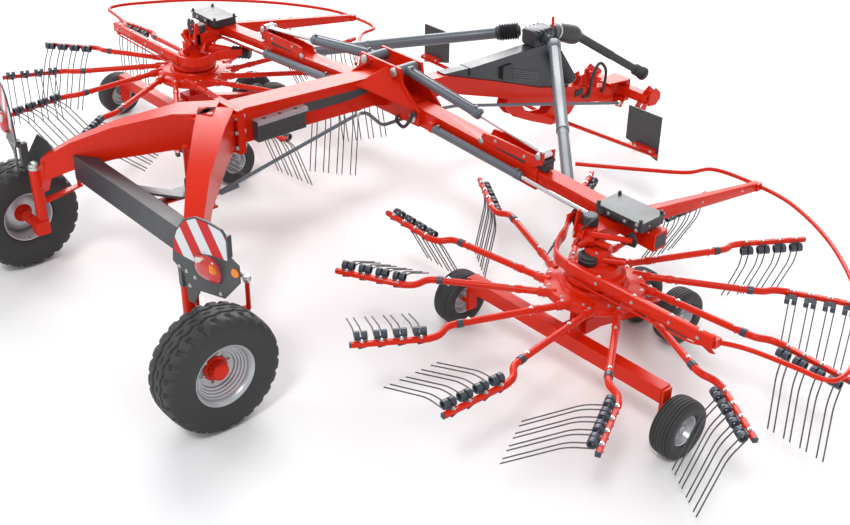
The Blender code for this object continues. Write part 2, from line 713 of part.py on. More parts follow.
def centre_lever():
    """Flat lever that turns the pull of the steering rod across to both track rods."""
    z = LEVER_Z
    outline = [(-0.060, LEVER_Y - 0.050), (-0.040, LEVER_Y - 0.250), (0.040, LEVER_Y - 0.250),
               (0.060, LEVER_Y - 0.050), (0.320, LEVER_Y - 0.030), (0.320, LEVER_Y + 0.030),
               (0.050, LEVER_Y + 0.050), (-0.050, LEVER_Y + 0.050)]
    return keep("centre_lever", plate(outline, z - LEVER_T / 2, z + LEVER_T / 2, "top"), "red_paint")


def track_rod(side):
    """Rod from the centre lever out to the kingpin's steering arm."""
    z = LEVER_Z - LEVER_T / 2 - SEAT - TRACK_ROD_R
    inner = (side * 0.030, LEVER_Y - 0.230, z)
    bend = (side * 0.200, LEVER_Y - 0.230, z)
    outer = Vector(mirrored(STEER_BALL, side)) + Vector((0, 0, 0.040))
    return keep("track_rod_" + tag(side), pipe([inner, bend, outer], TRACK_ROD_R), "shaft_guard")


def knuckle(side):
    """Kingpin foot with the stub axle and the steering arm."""
    x = side * KING_X
    top = KING_FOOT_Z - SEAT
    shapes = [rod((x, KING_Y, 0.370), (x, KING_Y, top), 0.042, 16)]
    shapes.append(rod((x, 0, BIG_TYRE_R), (side * (BIG_WHEEL_X - 0.045 - SEAT), 0, BIG_TYRE_R), 0.040, 16))
    shapes.append(block((0.100, 0.100, 0.110), (x, 0.010, BIG_TYRE_R)))
    ball_x, ball_y, ball_z = STEER_BALL
    arm = [(x - side * 0.030, KING_Y - 0.020), (x + side * 0.030, KING_Y - 0.020),
           (side * (ball_x + 0.022), ball_y), (side * (ball_x - 0.022), ball_y + 0.020)]
    shapes.append(plate(arm, 0.600, 0.618, "top"))
    pin_top = ball_z + 0.027 - SEAT
    shapes.append(rod((side * ball_x, ball_y, 0.605), (side * ball_x, ball_y, pin_top), 0.016, 12))
    return keep("knuckle_" + tag(side), fuse(shapes), "red_paint")


def big_tyre(side):
    """Implement tyre, a ring round its rim."""
    r, w = BIG_TYRE_R, BIG_TYRE_W / 2
    inner = BIG_RIM_R + SEAT
    centre = (side * BIG_WHEEL_X, 0, BIG_TYRE_R)
    profile = [(inner, w * 0.72), (BIG_RIM_R + 0.040, w * 0.92), (r * 0.80, w),
               (r * 0.965, w * 0.88), (r, w * 0.50), (r, -w * 0.50), (r * 0.965, -w * 0.88),
               (r * 0.80, -w), (BIG_RIM_R + 0.040, -w * 0.92), (inner, -w * 0.72)]
    ring = turned(profile, centre, (side, 0, 0), BIG_WHEEL_STEPS)
    return keep("big_tyre_" + tag(side), ring, "tyre_rubber")


def big_rim(side):
    """Dished wheel with its hub, lips inside the tyre's bead."""
    w = BIG_TYRE_W / 2 * 0.72
    profile = [(0.0, 0.080), (0.045, 0.080), (0.052, 0.006), (0.120, 0.006), (0.176, 0.035),
               (0.186, w - 0.020), (BIG_RIM_R, w - 0.004), (BIG_RIM_R, -w + 0.004), (0.186, -w + 0.020),
               (0.174, 0.014), (0.060, -0.045), (0.0, -0.045)]
    dish = turned(profile, (side * BIG_WHEEL_X, 0, BIG_TYRE_R), (side, 0, 0), BIG_WHEEL_STEPS)
    return keep("big_rim_" + tag(side), dish, "rim_silver")


def small_wheel_shape(x, y):
    """A small tyre filled by its wheel disc."""
    r, w = SMALL_TYRE_R, SMALL_TYRE_W / 2
    profile = [(0.0, w * 0.35), (0.095, w * 0.35), (0.110, w * 0.92), (r * 0.88, w * 0.92),
               (r, w * 0.30), (r, -w * 0.30), (r * 0.88, -w * 0.92), (0.110, -w * 0.92),
               (0.095, -w * 0.35), (0.0, -w * 0.35)]
    return turned(profile, (x, y, r), (1, 0, 0), SMALL_WHEEL_STEPS)


def inner_boom(side):
    """Hollow boom from the saddle hinge, with the lugs of the lift cylinder."""
    y = BOOM_Y
    rings = []
    hole = []
    for x in (BOOM_HINGE_X - 0.050, BOOM_INNER_END_X):
        rings.append(box_ring((side * x, y, boom_z(x)), (0, 1, 0), BOOM_W, (0, 0, 1), BOOM_H))
    for x in (OUTER_START_X - BOOM_RETRACT - 0.030, BOOM_INNER_END_X + 0.050):
        hole.append(box_ring((side * x, y, boom_z(x)), (0, 1, 0), BOOM_W - 2 * BOOM_WALL,
                             (0, 0, 1), BOOM_H - 2 * BOOM_WALL))
    shapes = [loft(rings)]
    reach = SADDLE_GAP / 2 - SEAT
    hinge_x = side * BOOM_HINGE_X
    shapes.append(rod((hinge_x, y - reach, BOOM_HINGE_Z), (hinge_x, y + reach, BOOM_HINGE_Z), 0.070, 16))
    lug = [(side * x, z) for x, z in BOOM_LUG]
    for low in (y - LUG_GAP / 2 - LUG_T, y + LUG_GAP / 2):
        shapes.append(plate(lug, low, low + LUG_T, "front"))
    shapes.append(block((0.050, 0.060, 0.080), (side * 0.620, y - BOOM_W / 2 - 0.025, boom_z(0.620))))
    return keep("inner_boom_" + tag(side), cut_away(fuse(shapes), [loft(hole)]), "red_paint")


def lift_cylinder(side):
    """Barrel and rod of the lift cylinder over the boom."""
    start = Vector((side * LIFT_PIN_X, BOOM_Y, LIFT_PIN_Z))
    end = Vector((side * LIFT_EYE_X, BOOM_Y, LIFT_EYE_Z))
    along = (end - start).normalized()
    pin = Vector((0, SADDLE_GAP / 2 - SEAT, 0))
    eye = Vector((0, LUG_GAP / 2 - SEAT, 0))
    barrel = [rod(start + along * 0.030, start + along * 0.860, LIFT_BARREL_R, 16),
              rod(start - pin, start + pin, 0.045, 16)]
    bore = rod(start + along * 0.300, start + along * 0.900, LIFT_STEM_R + 0.0005, 16)
    stem = [rod(start + along * 0.775, end - along * 0.030, LIFT_STEM_R, 16),
            rod(end - eye, end + eye, 0.038, 14)]
    body = keep("lift_barrel_" + tag(side), cut_away(fuse(barrel), [bore]), "shaft_guard")
    rod_node = keep("lift_rod_" + tag(side), fuse(stem), "chrome_steel")
    return body, rod_node


def beside(side, x):
    """A point of the width cylinder's line, at a distance from the machine's middle."""
    return (side * x, WIDTH_Y, boom_z(x))


def width_cylinder(side):
    """Cylinder beside the boom that sets the working width, and its rod."""
    x0, x1 = WIDTH_BARREL_X
    barrel = rod(beside(side, x0), beside(side, x1), WIDTH_BARREL_R, 16)
    mouth = rod(beside(side, x0 + 0.100), beside(side, x1 + 0.100), WIDTH_ROD_R + 0.0005, 16)
    return keep("width_barrel_" + tag(side), cut_away(barrel, [mouth]), "shaft_guard")


def outer_boom(side):
    """Sliding boom with the head block over the rotor and the width cylinder's rod."""
    y = BOOM_Y
    rings = []
    for x in (OUTER_START_X, OUTER_END_X):
        rings.append(box_ring((side * x, y, boom_z(x)), (0, 1, 0), OUTER_W, (0, 0, 1), OUTER_H))
    shapes = [loft(rings)]
    shapes.append(block((0.170, 0.420, 0.100), (side * 2.430, 2.470, 1.035)))
    shapes.append(rod(beside(side, WIDTH_ROD_X[0]), beside(side, WIDTH_ROD_X[1]), WIDTH_ROD_R, 12))
    return keep("outer_boom_" + tag(side), fuse(shapes), "red_paint")


def head_box(side):
    """Dark hood on the boom's end over the rotor head."""
    inner_x, outer_x = HOOD_X
    base = boom_z(inner_x) + OUTER_H / 2 + SEAT
    shape = block((outer_x - inner_x, HOOD_Y[1] - HOOD_Y[0], HOOD_TOP_Z - base),
                  (side * (inner_x + outer_x) / 2, sum(HOOD_Y) / 2, (HOOD_TOP_Z + base) / 2))
    return keep("head_box_" + tag(side), shape, "grey_paint")


def rotor_head(side):
    """Fixed casting, cover drum and column that the rotor turns on."""
    x, y = side * ROTOR_X, ROTOR_Y
    low, high = DRUM_Z
    top = 0.985 - SEAT
    foot = CARRIAGE_Z + 0.080
    column = [(0.0, top), (0.085, top), (0.095, 0.900), (0.060, 0.860), (0.055, high + 0.010),
              (DRUM_R, high - 0.020), (DRUM_R, low), (COLUMN_R, low), (COLUMN_R, foot), (0.0, foot)]
    shapes = [turned(column, (x, y, 0), (0, 0, 1), HUB_STEPS)]
    shapes.append(rod((x, y, 0.930), (side * 2.120, 2.560, 0.905), 0.045, 12))
    return keep("rotor_head_" + tag(side), fuse(shapes), "red_paint")


def drive_shaft(side):
    """Guarded cross shaft from the gearbox to the rotor head."""
    joint = Vector((side * SHAFT_JOINT_X, GEARBOX_Y, SHAFT_Z))
    end = Vector(mirrored(SHAFT_END, side))
    away = (end - joint).normalized()
    shapes = [rod(joint + away * (JOINT_PIN_R + SEAT), joint + away * 0.060, 0.030, 12, 0.056)]
    shapes.append(rod(joint + away * 0.055, joint + away * 0.200, 0.062, 12))
    shapes.append(rod(joint + away * 0.100, end, SHAFT_TUBE_R, 12))
    return keep("drive_shaft_" + tag(side), fuse(shapes), "shaft_guard")


def ribbon(route, width, height):
    """A flat band on edge along a route, its corners mitred in plan."""
    places = [Vector(place) for place in route]
    rings = []
    for k, place in enumerate(places):
        along = places[min(k + 1, len(places) - 1)] - places[max(k - 1, 0)]
        rings.append(box_ring(place, (-along.y, along.x, 0), width, (0, 0, 1), height))
    return loft(rings)


def guard(side):
    """Bar over the rotor, hoop tube round its outside and the front arm."""
    x_in, x_out = GUARD_BAR_X
    middle = (side * (x_in + x_out) / 2, GUARD_BAR_Y, GUARD_Z)
    shapes = [block((x_out - x_in, GUARD_BAR_W, GUARD_BAR_H), middle)]
    shapes.append(ribbon([mirrored(place, side) for place in GUARD_BAND], GUARD_BAND_T, GUARD_BAR_H))
    x, y, z_end = GUARD_BAND[-1]
    hanger = []
    for at in (x - 0.011, x + 0.016):
        low, high = z_end - 0.020, boom_z(at) - OUTER_H / 2 - SEAT
        centre = (side * at, y + 0.025, (low + high) / 2)
        hanger.append(box_ring(centre, (0, 1, 0), 0.080, (0, 0, 1), high - low))
    shapes.append(loft(hanger))
    hoop = smooth_route([mirrored(place, side) for place in GUARD_HOOP], 2)
    shapes.append(pipe(hoop, GUARD_TUBE_R, 1))
    end = Vector(mirrored(FRONT_ARM_END, side))
    base = Vector((side * 2.460, BOOM_Y + OUTER_W / 2 + SEAT, 1.020))
    shapes.append(loft([box_ring(base, (1, 0, 0), 0.080, (0, 0, 1), 0.110),
                        box_ring(end, (1, 0, 0), 0.050, (0, 0, 1), 0.060)]))
    shapes.append(block((0.060, 0.080, 0.060), end + Vector((0, 0.010, 0))))
    return keep("guard_" + tag(side), fuse(shapes), "red_paint")


def undercarriage(side):
    """Beams under the rotor that carry its four small wheels."""
    x, y = side * ROTOR_X, ROTOR_Y
    rear_y = y + REAR_AXLE_DY
    front_y = y + FRONT_AXLE_DY
    shapes = [block((0.150, 0.200, 0.110), (x, y - 0.040, CARRIAGE_Z + 0.0247))]
    shapes.append(block((2 * REAR_TRACK - 0.260, 0.090, 0.110), (x, rear_y, CARRIAGE_Z)))
    shapes.append(block((0.090, 0.400, 0.100), (x, y - 0.130, CARRIAGE_Z)))
    shapes.append(loft([box_ring((x, y, CARRIAGE_Z), (1, 0, 0), 0.090, (0, 0, 1), 0.100),
                        box_ring((x, front_y + 0.045, SMALL_TYRE_R), (1, 0, 0), 0.070, (0, 0, 1), 0.080)]))
    for end in (1, -1):
        wheel_x = x + end * REAR_TRACK
        drop = x + end * (REAR_TRACK - SMALL_TYRE_W / 2 - 0.040)
        shapes.append(block((0.030, 0.080, 0.270), (drop, rear_y, CARRIAGE_Z - 0.090)))
        face_x = wheel_x - end * (SMALL_TYRE_W / 2 * 0.35 + SEAT)
        shapes.append(rod((drop, rear_y, SMALL_TYRE_R), (face_x, rear_y, SMALL_TYRE_R), 0.018, 12))
    bore = rod((x - 0.1, front_y, SMALL_TYRE_R), (x + 0.1, front_y, SMALL_TYRE_R),
               SMALL_AXLE_R + 2 * SEAT, 16)
    return keep("undercarriage_" + tag(side), cut_away(fuse(shapes), [bore]), "red_paint")


def small_wheels(side):
    """Two single wheels behind and a pair on one axle in front, each with the middle of its axle."""
    x, y = side * ROTOR_X, ROTOR_Y
    rear_y, front_y = y + REAR_AXLE_DY, y + FRONT_AXLE_DY
    made = []
    for word, end in (("outer", side), ("inner", -side)):
        name = "rear_wheel_" + word + "_" + tag(side)
        wheel_x = x + end * REAR_TRACK
        wheel = keep(name, small_wheel_shape(wheel_x, rear_y), "tyre_rubber")
        made.append((name, (wheel_x, rear_y, SMALL_TYRE_R), wheel))
    name = "front_wheels_" + tag(side)
    pair = [small_wheel_shape(x + end * FRONT_TRACK, front_y) for end in (1, -1)]
    axle = rod((x - FRONT_TRACK, front_y, SMALL_TYRE_R), (x + FRONT_TRACK, front_y, SMALL_TYRE_R),
               SMALL_AXLE_R, 12)
    made.append((name, (x, front_y, SMALL_TYRE_R), keep(name, fuse([axle] + pair), "tyre_rubber")))
    return made


def tine_lift(angle):
    """How far the tines are swung back and up where the arm points, in degrees."""
    angle = angle % 360.0
    for (a0, l0), (a1, l1) in zip(LIFT_BY_ANGLE, LIFT_BY_ANGLE[1:]):
        if a0 <= angle <= a1:
            return l0 + (l1 - l0) * (angle - a0) / (a1 - a0)
    return 0.0


def tine_shape(place, out, lift):
    """One bent tine, trailing behind the arm: down from the coil, then bent back."""
    side = Vector((out.y, -out.x, 0))
    upper = math.radians(lift)
    lower = math.radians(lift - TINE_BEND_DEG)
    knee = place + (side * math.sin(upper) - Vector((0, 0, 1)) * math.cos(upper)) * TINE_LENGTH * 0.35
    tip = knee + (side * math.sin(lower) - Vector((0, 0, 1)) * math.cos(lower)) * TINE_LENGTH * 0.65
    return place, knee, tip


def rotor(side):
    """Hub ring with twelve arms, their tine carriers and all tines in one solid."""
    phase = RIGHT_PHASE_DEG if side > 0 else LEFT_PHASE_DEG
    z0, z1 = HUB_Z
    hub = [(HUB_BORE_R, z1), (0.215, z1), (0.225, z1 - 0.020), (HUB_R, z1 - 0.030), (HUB_R, z0 + 0.020),
           (HUB_R - 0.060, z0), (HUB_BORE_R, z0)]
    shapes = [turned(hub, (0, 0, 0), (0, 0, 1), HUB_STEPS)]
    for k in range(ARMS):
        angle = phase + 360.0 / ARMS * k
        turn = Matrix.Rotation(math.radians(angle), 3, "Z")
        line = [turn @ Vector(p) for p in ARM_LINE]
        tip = turn @ Vector(CARRIER_TIP)
        shapes.append(pipe(line, ARM_R, 0))
        start = line[-1] + (line[-1] - tip).normalized() * 0.020
        out = (tip - start).normalized()
        across = Vector((-out.y, out.x, 0))
        shapes.append(loft([box_ring(start, across, CARRIER_SIZE, (0, 0, 1), CARRIER_SIZE),
                            box_ring(tip, across, CARRIER_SIZE, (0, 0, 1), CARRIER_SIZE)]))
        lift = tine_lift(angle)
        for pair in range(TINE_PAIRS):
            for twin in (-1, 1):
                run = 0.060 + TINE_PAIR_STEP * pair + TINE_TWIN_STEP * twin
                coil = start + out * (run + 0.010) - across * 0.012
                route = tine_shape(coil, out, lift)
                shapes.append(thin_bar(route, out))
    whole = fuse(shapes)
    bm = bmesh.new()
    bm.from_mesh(whole.data)
    if side < 0:
        bmesh.ops.scale(bm, vec=(-1, 1, 1), verts=bm.verts)
        bmesh.ops.reverse_faces(bm, faces=bm.faces)
    bmesh.ops.translate(bm, vec=(side * ROTOR_X, ROTOR_Y, 0), verts=bm.verts)
    bpy.data.objects.remove(whole)
    return keep("tine_rotor_" + tag(side), loose(bm), "red_paint")


def thin_bar(route, out):
    """A three-sided bar along a route that bends square to out, for the many tines."""
    rings = []
    for k, place in enumerate(route):
        before = route[max(k - 1, 0)]
        after = route[min(k + 1, len(route) - 1)]
        back = (after - before).cross(out).normalized()
        corners = ((math.cos(turn), math.sin(turn)) for turn in (0.0, 2 * math.pi / 3, 4 * math.pi / 3))
        rings.append([place + TINE_R * (a * back + b * out) for a, b in corners])
    return loft(rings)


def build():
    """The whole rake, body by body."""
    chassis = [rear_fork(), cross_beam(), main_beam(), drawbar(), support_housing(), gearbox(), pto_shaft(),
               front_guard()]
    for side in (1, -1):
        chassis.append(warning_board(side))
    hang("chassis", (0, 0, 0), chassis)
    hang("yoke_pivot", (0, YOKE_Y, YOKE_Z), [hitch_yoke()])
    hang("stand_fold", (STAND_X, STAND_Y, STAND_Z), [stand_leg()])
    hang("rod_slide", (0.2, 3.0, 1.0), [steering_rod()])
    hang("lever_pivot", (0, LEVER_Y, LEVER_Z), [centre_lever()])
    for side in (1, -1):
        name = tag(side)
        hang("track_slide_" + name, (side * 0.03, LEVER_Y, LEVER_Z), [track_rod(side)])
        hang("kingpin_" + name, (side * KING_X, KING_Y, KING_FOOT_Z), [knuckle(side)])
        hang("big_axle_" + name, (side * BIG_WHEEL_X, 0, BIG_TYRE_R), [big_tyre(side), big_rim(side)])
        hang("boom_hinge_" + name, (side * BOOM_HINGE_X, BOOM_Y, BOOM_HINGE_Z),
             [inner_boom(side), width_cylinder(side)])
        barrel, stem = lift_cylinder(side)
        hang("lift_pin_" + name, (side * LIFT_PIN_X, BOOM_Y, LIFT_PIN_Z), [barrel])
        hang("lift_stroke_" + name, (side * LIFT_EYE_X, BOOM_Y, LIFT_EYE_Z), [stem])
        hang("boom_slide_" + name, (side * ROTOR_X, BOOM_Y, boom_z(ROTOR_X)),
             [outer_boom(side), head_box(side), rotor_head(side), guard(side), undercarriage(side)])
        hang("shaft_joint_" + name, (side * SHAFT_JOINT_X, GEARBOX_Y, SHAFT_Z), [drive_shaft(side)])
        hang("rotor_axis_" + name, (side * ROTOR_X, ROTOR_Y, ARM_Z), [rotor(side)])
        for node, place, wheel in small_wheels(side):
            hang(node + "_axle", place, [wheel])


build()
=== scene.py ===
"""The looks of the twin rotor hay rake: finishes, tyres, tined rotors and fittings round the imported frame.

Lengths are metres. Places along the machine are written from the rear axle, as in
the part's source, and each mesh is moved by REAR_AXLE_Y when it is made.
"""
import math

import bmesh
import bpy
import numpy as np
from mathutils import Matrix, Vector


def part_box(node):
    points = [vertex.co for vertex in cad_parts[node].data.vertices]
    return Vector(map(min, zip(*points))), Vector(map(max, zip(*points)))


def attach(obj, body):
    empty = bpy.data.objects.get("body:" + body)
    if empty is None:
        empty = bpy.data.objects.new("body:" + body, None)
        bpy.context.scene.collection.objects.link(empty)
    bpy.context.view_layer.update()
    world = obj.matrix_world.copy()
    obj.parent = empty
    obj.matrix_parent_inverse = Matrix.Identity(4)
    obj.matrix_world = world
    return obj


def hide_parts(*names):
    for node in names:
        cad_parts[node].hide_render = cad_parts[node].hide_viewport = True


bl_info = {
    "name": "Hay Rake Looks",
    "version": (1, 0, 0),
    "blender": (4, 5, 0),
    "location": "View3D > Sidebar > Hay Rake",
    "description": "Builds the finishes and fine pieces of a twin rotor hay rake",
    "category": "Object",
}

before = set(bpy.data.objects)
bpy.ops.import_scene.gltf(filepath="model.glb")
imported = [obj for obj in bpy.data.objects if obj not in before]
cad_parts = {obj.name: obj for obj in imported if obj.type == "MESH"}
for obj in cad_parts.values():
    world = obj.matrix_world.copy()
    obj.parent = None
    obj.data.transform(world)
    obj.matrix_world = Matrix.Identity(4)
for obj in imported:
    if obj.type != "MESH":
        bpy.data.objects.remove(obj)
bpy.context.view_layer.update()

REAR_AXLE_Y = -2.58875
# the two sides: the right one at +X
SIDES = (1, -1)

# big wheels
WHEEL_X = 1.371
WHEEL_R = 0.4225
WHEEL_HALF_W = 0.150

# rotors and their small wheels, whose places are given from the rotor's axis
ROTOR_X = 2.513
ROTOR_Y = 2.310
SMALL_R = 0.205
SMALL_HALF_W = 0.0825
SINGLE_OUT, SINGLE_BACK = 1.010, 0.290
PAIR_HALF, PAIR_AHEAD = 0.185, 0.745

# one arm that points along +X from the rotor's axis: its tube's line, its socket and its tine carrier
ARM_COUNT = 12
ARM_STEP_DEG = 360.0 / ARM_COUNT
PHASE = {"right": 13.1, "left": 7.1}
ARM_LINE = ((0.290, 0.150, 0.675), (1.130, 0.052, 0.662), (1.205, 0.112, 0.645), (1.290, 0.112, 0.640))
ARM_R = 0.024
SOCKET_R = 0.033
CARRIER = 0.036
CARRIER_CORNER = 0.006
ARM_TIP = (1.775, -0.020, 0.640)
HUB_BOLT_R, HUB_TOP = 0.318, 0.695

# tines in pairs along the carrier: the first pair's place, the step and half the gap between twins
TINE_PAIRS = 4
FIRST_PAIR, PAIR_STEP, TWIN_HALF = 0.067, 0.126, 0.024
COIL_DOWN, COIL_BACK = 0.038, 0.040
COIL_HALF = 0.017
TINE_UPPER, TINE_LOWER = 0.155, 0.445
TINE_BEND_DEG = 19.0
# tine lift angle by the arm's place round the rotor: degrees round, degrees of lift
LIFT_ANGLES = (0.0, 45.0, 75.0, 150.0, 190.0, 225.0, 290.0, 315.0, 345.0, 360.0)
LIFT_DEGREES = (22.0, 2.0, -10.0, -8.0, 45.0, 82.0, 88.0, 76.0, 34.0, 22.0)

# boom: its hinge and fall, the pins of the lift cylinder and the ends of the width cylinder
HINGE_X, BOOM_Y, HINGE_Z = 0.410, 2.620, 1.130
BOOM_FALL = 0.050
SADDLE_FACE_Y = 2.4998
LIFT_FOOT_X, LIFT_FOOT_Z = 0.181, 1.433
LIFT_EYE_X, LIFT_EYE_Z = 1.698, 1.250
WIDTH_FOOT_X, WIDTH_EYE_X = 0.655, 1.600
WIDTH_BEHIND = 0.120

# gearbox: its middle, its foot's height and its outputs' height, and the cross shaft's outer end
GEARBOX_Y, GEARBOX_FOOT_Z = 4.300, 1.2003
SHAFT_Z = 1.2653
SHAFT_X = 0.190
SHAFT_END = (1.850, 2.750, 0.915)

# guard bar over the rotor, hoop round it, and the steering pieces
GUARD_Z, HOOP_Z = 0.850, 0.800
HOOP_R = 0.016
KINGPIN_X, KINGPIN_Y = 1.070, 0.030
POST_Y = 0.720
TRACK_Y, TRACK_Z = 0.490, 0.8827
ROD_FOOT_Z = 0.985

# board film: height from band to band, where the first one starts as a share of that, rise across
BAND_PITCH, BAND_START, BAND_TILT = 0.365, 0.005, 1.903

# camera worked out from the wheels' places
CAMERA_PLACE = (7.0089, -5.8382, 4.9710)
CAMERA_YAW, CAMERA_PITCH, CAMERA_ROLL = 48.23, 30.46, 0.89
CAMERA_LENS = 51.666
CAMERA_SENSOR = 36.0


def boom_z(x):
    """Height of the boom's centre line: the hinge's height less the fall times the way out from it."""
    return HINGE_Z - BOOM_FALL * (abs(x) - HINGE_X)


def side_word(side):
    """The word for a side of the machine, which is right at +X."""
    return "right" if side > 0 else "left"


# Surfaces: each is (points, faces), an N by 3 array and a list of face blocks, one block per corner count.

def joined(*surfaces):
    """Several surfaces as one: points stacked, and each face's numbers raised by the points before it."""
    points, faces, start = [], [], 0
    for spots, blocks in surfaces:
        points.append(spots)
        faces += [block + start for block in blocks]
        start += len(spots)
    return np.concatenate(points), faces


def grid_faces(rows, columns, wrap_rows=False, wrap_columns=True):
    """Four-cornered faces of a grid of rows by columns, where point number = row * columns + column."""
    row = np.arange(rows if wrap_rows else rows - 1)
    column = np.arange(columns if wrap_columns else columns - 1)
    r, c = np.meshgrid(row, column, indexing="ij")
    r2, c2 = (r + 1) % rows, (c + 1) % columns
    corners = (r * columns + c, r * columns + c2, r2 * columns + c2, r2 * columns + c)
    return np.stack([k.ravel() for k in corners], axis=1)


def lathe(profile, centre, axis, steps=48, caps=True):
    """A turned surface: centre + axis * along + radius * (cos t * across + sin t * up), t round it."""
    profile = np.asarray(profile, float)
    axis = np.asarray(axis, float) / np.linalg.norm(axis)
    aside = np.array((0.0, 0.0, 1.0)) if abs(axis[2]) < 0.9 else np.array((1.0, 0.0, 0.0))
    across = np.cross(aside, axis)
    across /= np.linalg.norm(across)
    up = np.cross(axis, across)
    turn = np.linspace(0, 2 * math.pi, steps, endpoint=False)
    ring = np.cos(turn)[:, None] * across + np.sin(turn)[:, None] * up
    radius, reach = profile[:, None, 0:1], profile[:, None, 1:2]
    points = (np.asarray(centre, float) + reach * axis + radius * ring).reshape(-1, 3)
    rows = len(profile)
    faces = [grid_faces(rows, steps, wrap_rows=not caps)]
    if caps:
        faces += [np.arange(steps)[None, ::-1], np.arange((rows - 1) * steps, rows * steps)[None]]
    return points, faces


def sweep(path, outline, up=(0, 0, 1), scale=1.0, caps=True):
    """An outline carried along a path: point = path + scale * (a * side + b * lift), side = along x up."""
    path = np.asarray(path, float)
    outline = np.asarray(outline, float)
    along = np.gradient(path, axis=0)
    along /= np.linalg.norm(along, axis=1, keepdims=True)
    side = np.cross(along, np.asarray(up, float))
    side /= np.linalg.norm(side, axis=1, keepdims=True)
    lift = np.cross(side, along)
    scale = np.broadcast_to(np.asarray(scale, float), (len(path),))[:, None, None]
    first, second = outline[None, :, 0:1], outline[None, :, 1:2]
    points = path[:, None] + scale * (first * side[:, None] + second * lift[:, None])
    rows, columns = len(path), len(outline)
    faces = [grid_faces(rows, columns)]
    if caps:
        faces += [np.arange(columns)[None, ::-1], np.arange((rows - 1) * columns, rows * columns)[None]]
    return points.reshape(-1, 3), faces


def circle(radius, sides=12):
    """Outline of a round bar: (radius cos t, radius sin t)."""
    turn = np.linspace(0, 2 * math.pi, sides, endpoint=False)
    return np.stack([radius * np.cos(turn), radius * np.sin(turn)], axis=1)


def rounded_box(width, height, corner, per_corner=3):
    """Outline of a box tube: four quarter circles of the corner's radius about the corner centres."""
    turn = np.linspace(0, math.pi / 2, per_corner)
    spots = []
    for quarter, (sx, sz) in enumerate(((1, 1), (-1, 1), (-1, -1), (1, -1))):
        t = turn + quarter * math.pi / 2
        spots.append(np.stack([sx * (width / 2 - corner) + corner * np.cos(t),
                               sz * (height / 2 - corner) + corner * np.sin(t)], axis=1))
    return np.concatenate(spots)


def bar(start, end, radius, sides=14, end_radius=None):
    """A round bar between two points, its radius running evenly from one end's to the other's."""
    start, end = np.asarray(start, float), np.asarray(end, float)
    last = radius if end_radius is None else end_radius
    return lathe([(radius, 0.0), (last, np.linalg.norm(end - start))], start, end - start, sides)


def smooth_path(points, per_span=8):
    """Catmull-Rom curve: each span is a cubic in t with the usual four weights, all spans at once."""
    spots = np.asarray(points, float)
    spots = np.concatenate([[2 * spots[0] - spots[1]], spots, [2 * spots[-1] - spots[-2]]])
    a, b, c, d = spots[:-3, None], spots[1:-2, None], spots[2:-1, None], spots[3:, None]
    t = np.linspace(0, 1, per_span, endpoint=False)[None, :, None]
    square, cube = 2 * a - 5 * b + 4 * c - d, 3 * b - a - 3 * c + d
    curve = 0.5 * (2 * b + (c - a) * t + square * t ** 2 + cube * t ** 3)
    return np.concatenate([curve.reshape(-1, 3), spots[-2:-1]])


def bent_path(points, radius=0.05, per_bend=6):
    """A path of straight runs whose corners are quadratic bends: (1-t)^2 A + 2t(1-t) B + t^2 C."""
    spots = np.asarray(points, float)
    path = [spots[:1]]
    for before, corner, after in zip(spots, spots[1:], spots[2:]):
        reach_in = min(radius, np.linalg.norm(corner - before) * 0.45)
        reach_out = min(radius, np.linalg.norm(after - corner) * 0.45)
        first = corner + (before - corner) / np.linalg.norm(before - corner) * reach_in
        last = corner + (after - corner) / np.linalg.norm(after - corner) * reach_out
        t = np.linspace(0, 1, per_bend)[:, None]
        path.append((1 - t) ** 2 * first + 2 * t * (1 - t) * corner + t ** 2 * last)
    path.append(spots[-1:])
    return np.concatenate(path)


AXES = {"side": (1, 2, 0), "front": (0, 2, 1), "top": (0, 1, 2)}


def slab(outline, low, high, plane):
    """A flat plate: its outline at the low and at the high level of the axis that the plane leaves out."""
    outline = np.asarray(outline, float)
    first, second, third = AXES[plane]
    points = np.zeros((2, len(outline), 3))
    points[:, :, first] = outline[:, 0]
    points[:, :, second] = outline[:, 1]
    points[0, :, third], points[1, :, third] = low, high
    count = len(outline)
    return points.reshape(-1, 3), [grid_faces(2, count), np.arange(count)[None, ::-1],
                                   np.arange(count, 2 * count)[None]]


def block(centre, size):
    """A box: a rectangle between two levels."""
    (x, y, z), (w, d, h) = centre, size
    outline = [(x - w / 2, y - d / 2), (x + w / 2, y - d / 2), (x + w / 2, y + d / 2), (x - w / 2, y + d / 2)]
    return slab(outline, z - h / 2, z + h / 2, "top")


def mirrored(surface, side):
    """A surface made for the right side, or its twin on the left: x times -1."""
    points, faces = surface
    return points * np.array((side, 1, 1)), faces


def bolt(place, axis, size=0.012, head=0.010):
    """A hexagon head with its washer, standing on a face."""
    return joined(lathe([(size * 1.5, 0.0), (size * 1.5, 0.0025)], place, axis, 14),
                  lathe([(size, 0.0025), (size, head * 0.85), (size * 0.85, head)], place, axis, 6))


FINISHES = {}


def make(name, surface, finish, body, replaced=(), bevel=0.0, smooth_deg=35):
    """A piece of the rake from a surface, with its finish, body and replaced CAD nodes."""
    points, faces = surface
    points = points + np.array((0, REAR_AXLE_Y, 0))
    mesh = bpy.data.meshes.new(name)
    corners = np.concatenate([block_.ravel() for block_ in faces])
    counts = np.concatenate([np.full(len(block_), block_.shape[1]) for block_ in faces])
    mesh.vertices.add(len(points))
    mesh.vertices.foreach_set("co", points.ravel())
    mesh.loops.add(len(corners))
    mesh.loops.foreach_set("vertex_index", corners.astype(np.int32))
    mesh.polygons.add(len(counts))
    mesh.polygons.foreach_set("loop_start", (np.cumsum(counts) - counts).astype(np.int32))
    mesh.update(calc_edges=True)
    piece = bpy.data.objects.new(name, mesh)
    return finish_piece(piece, finish, body, replaced, bevel, smooth_deg)


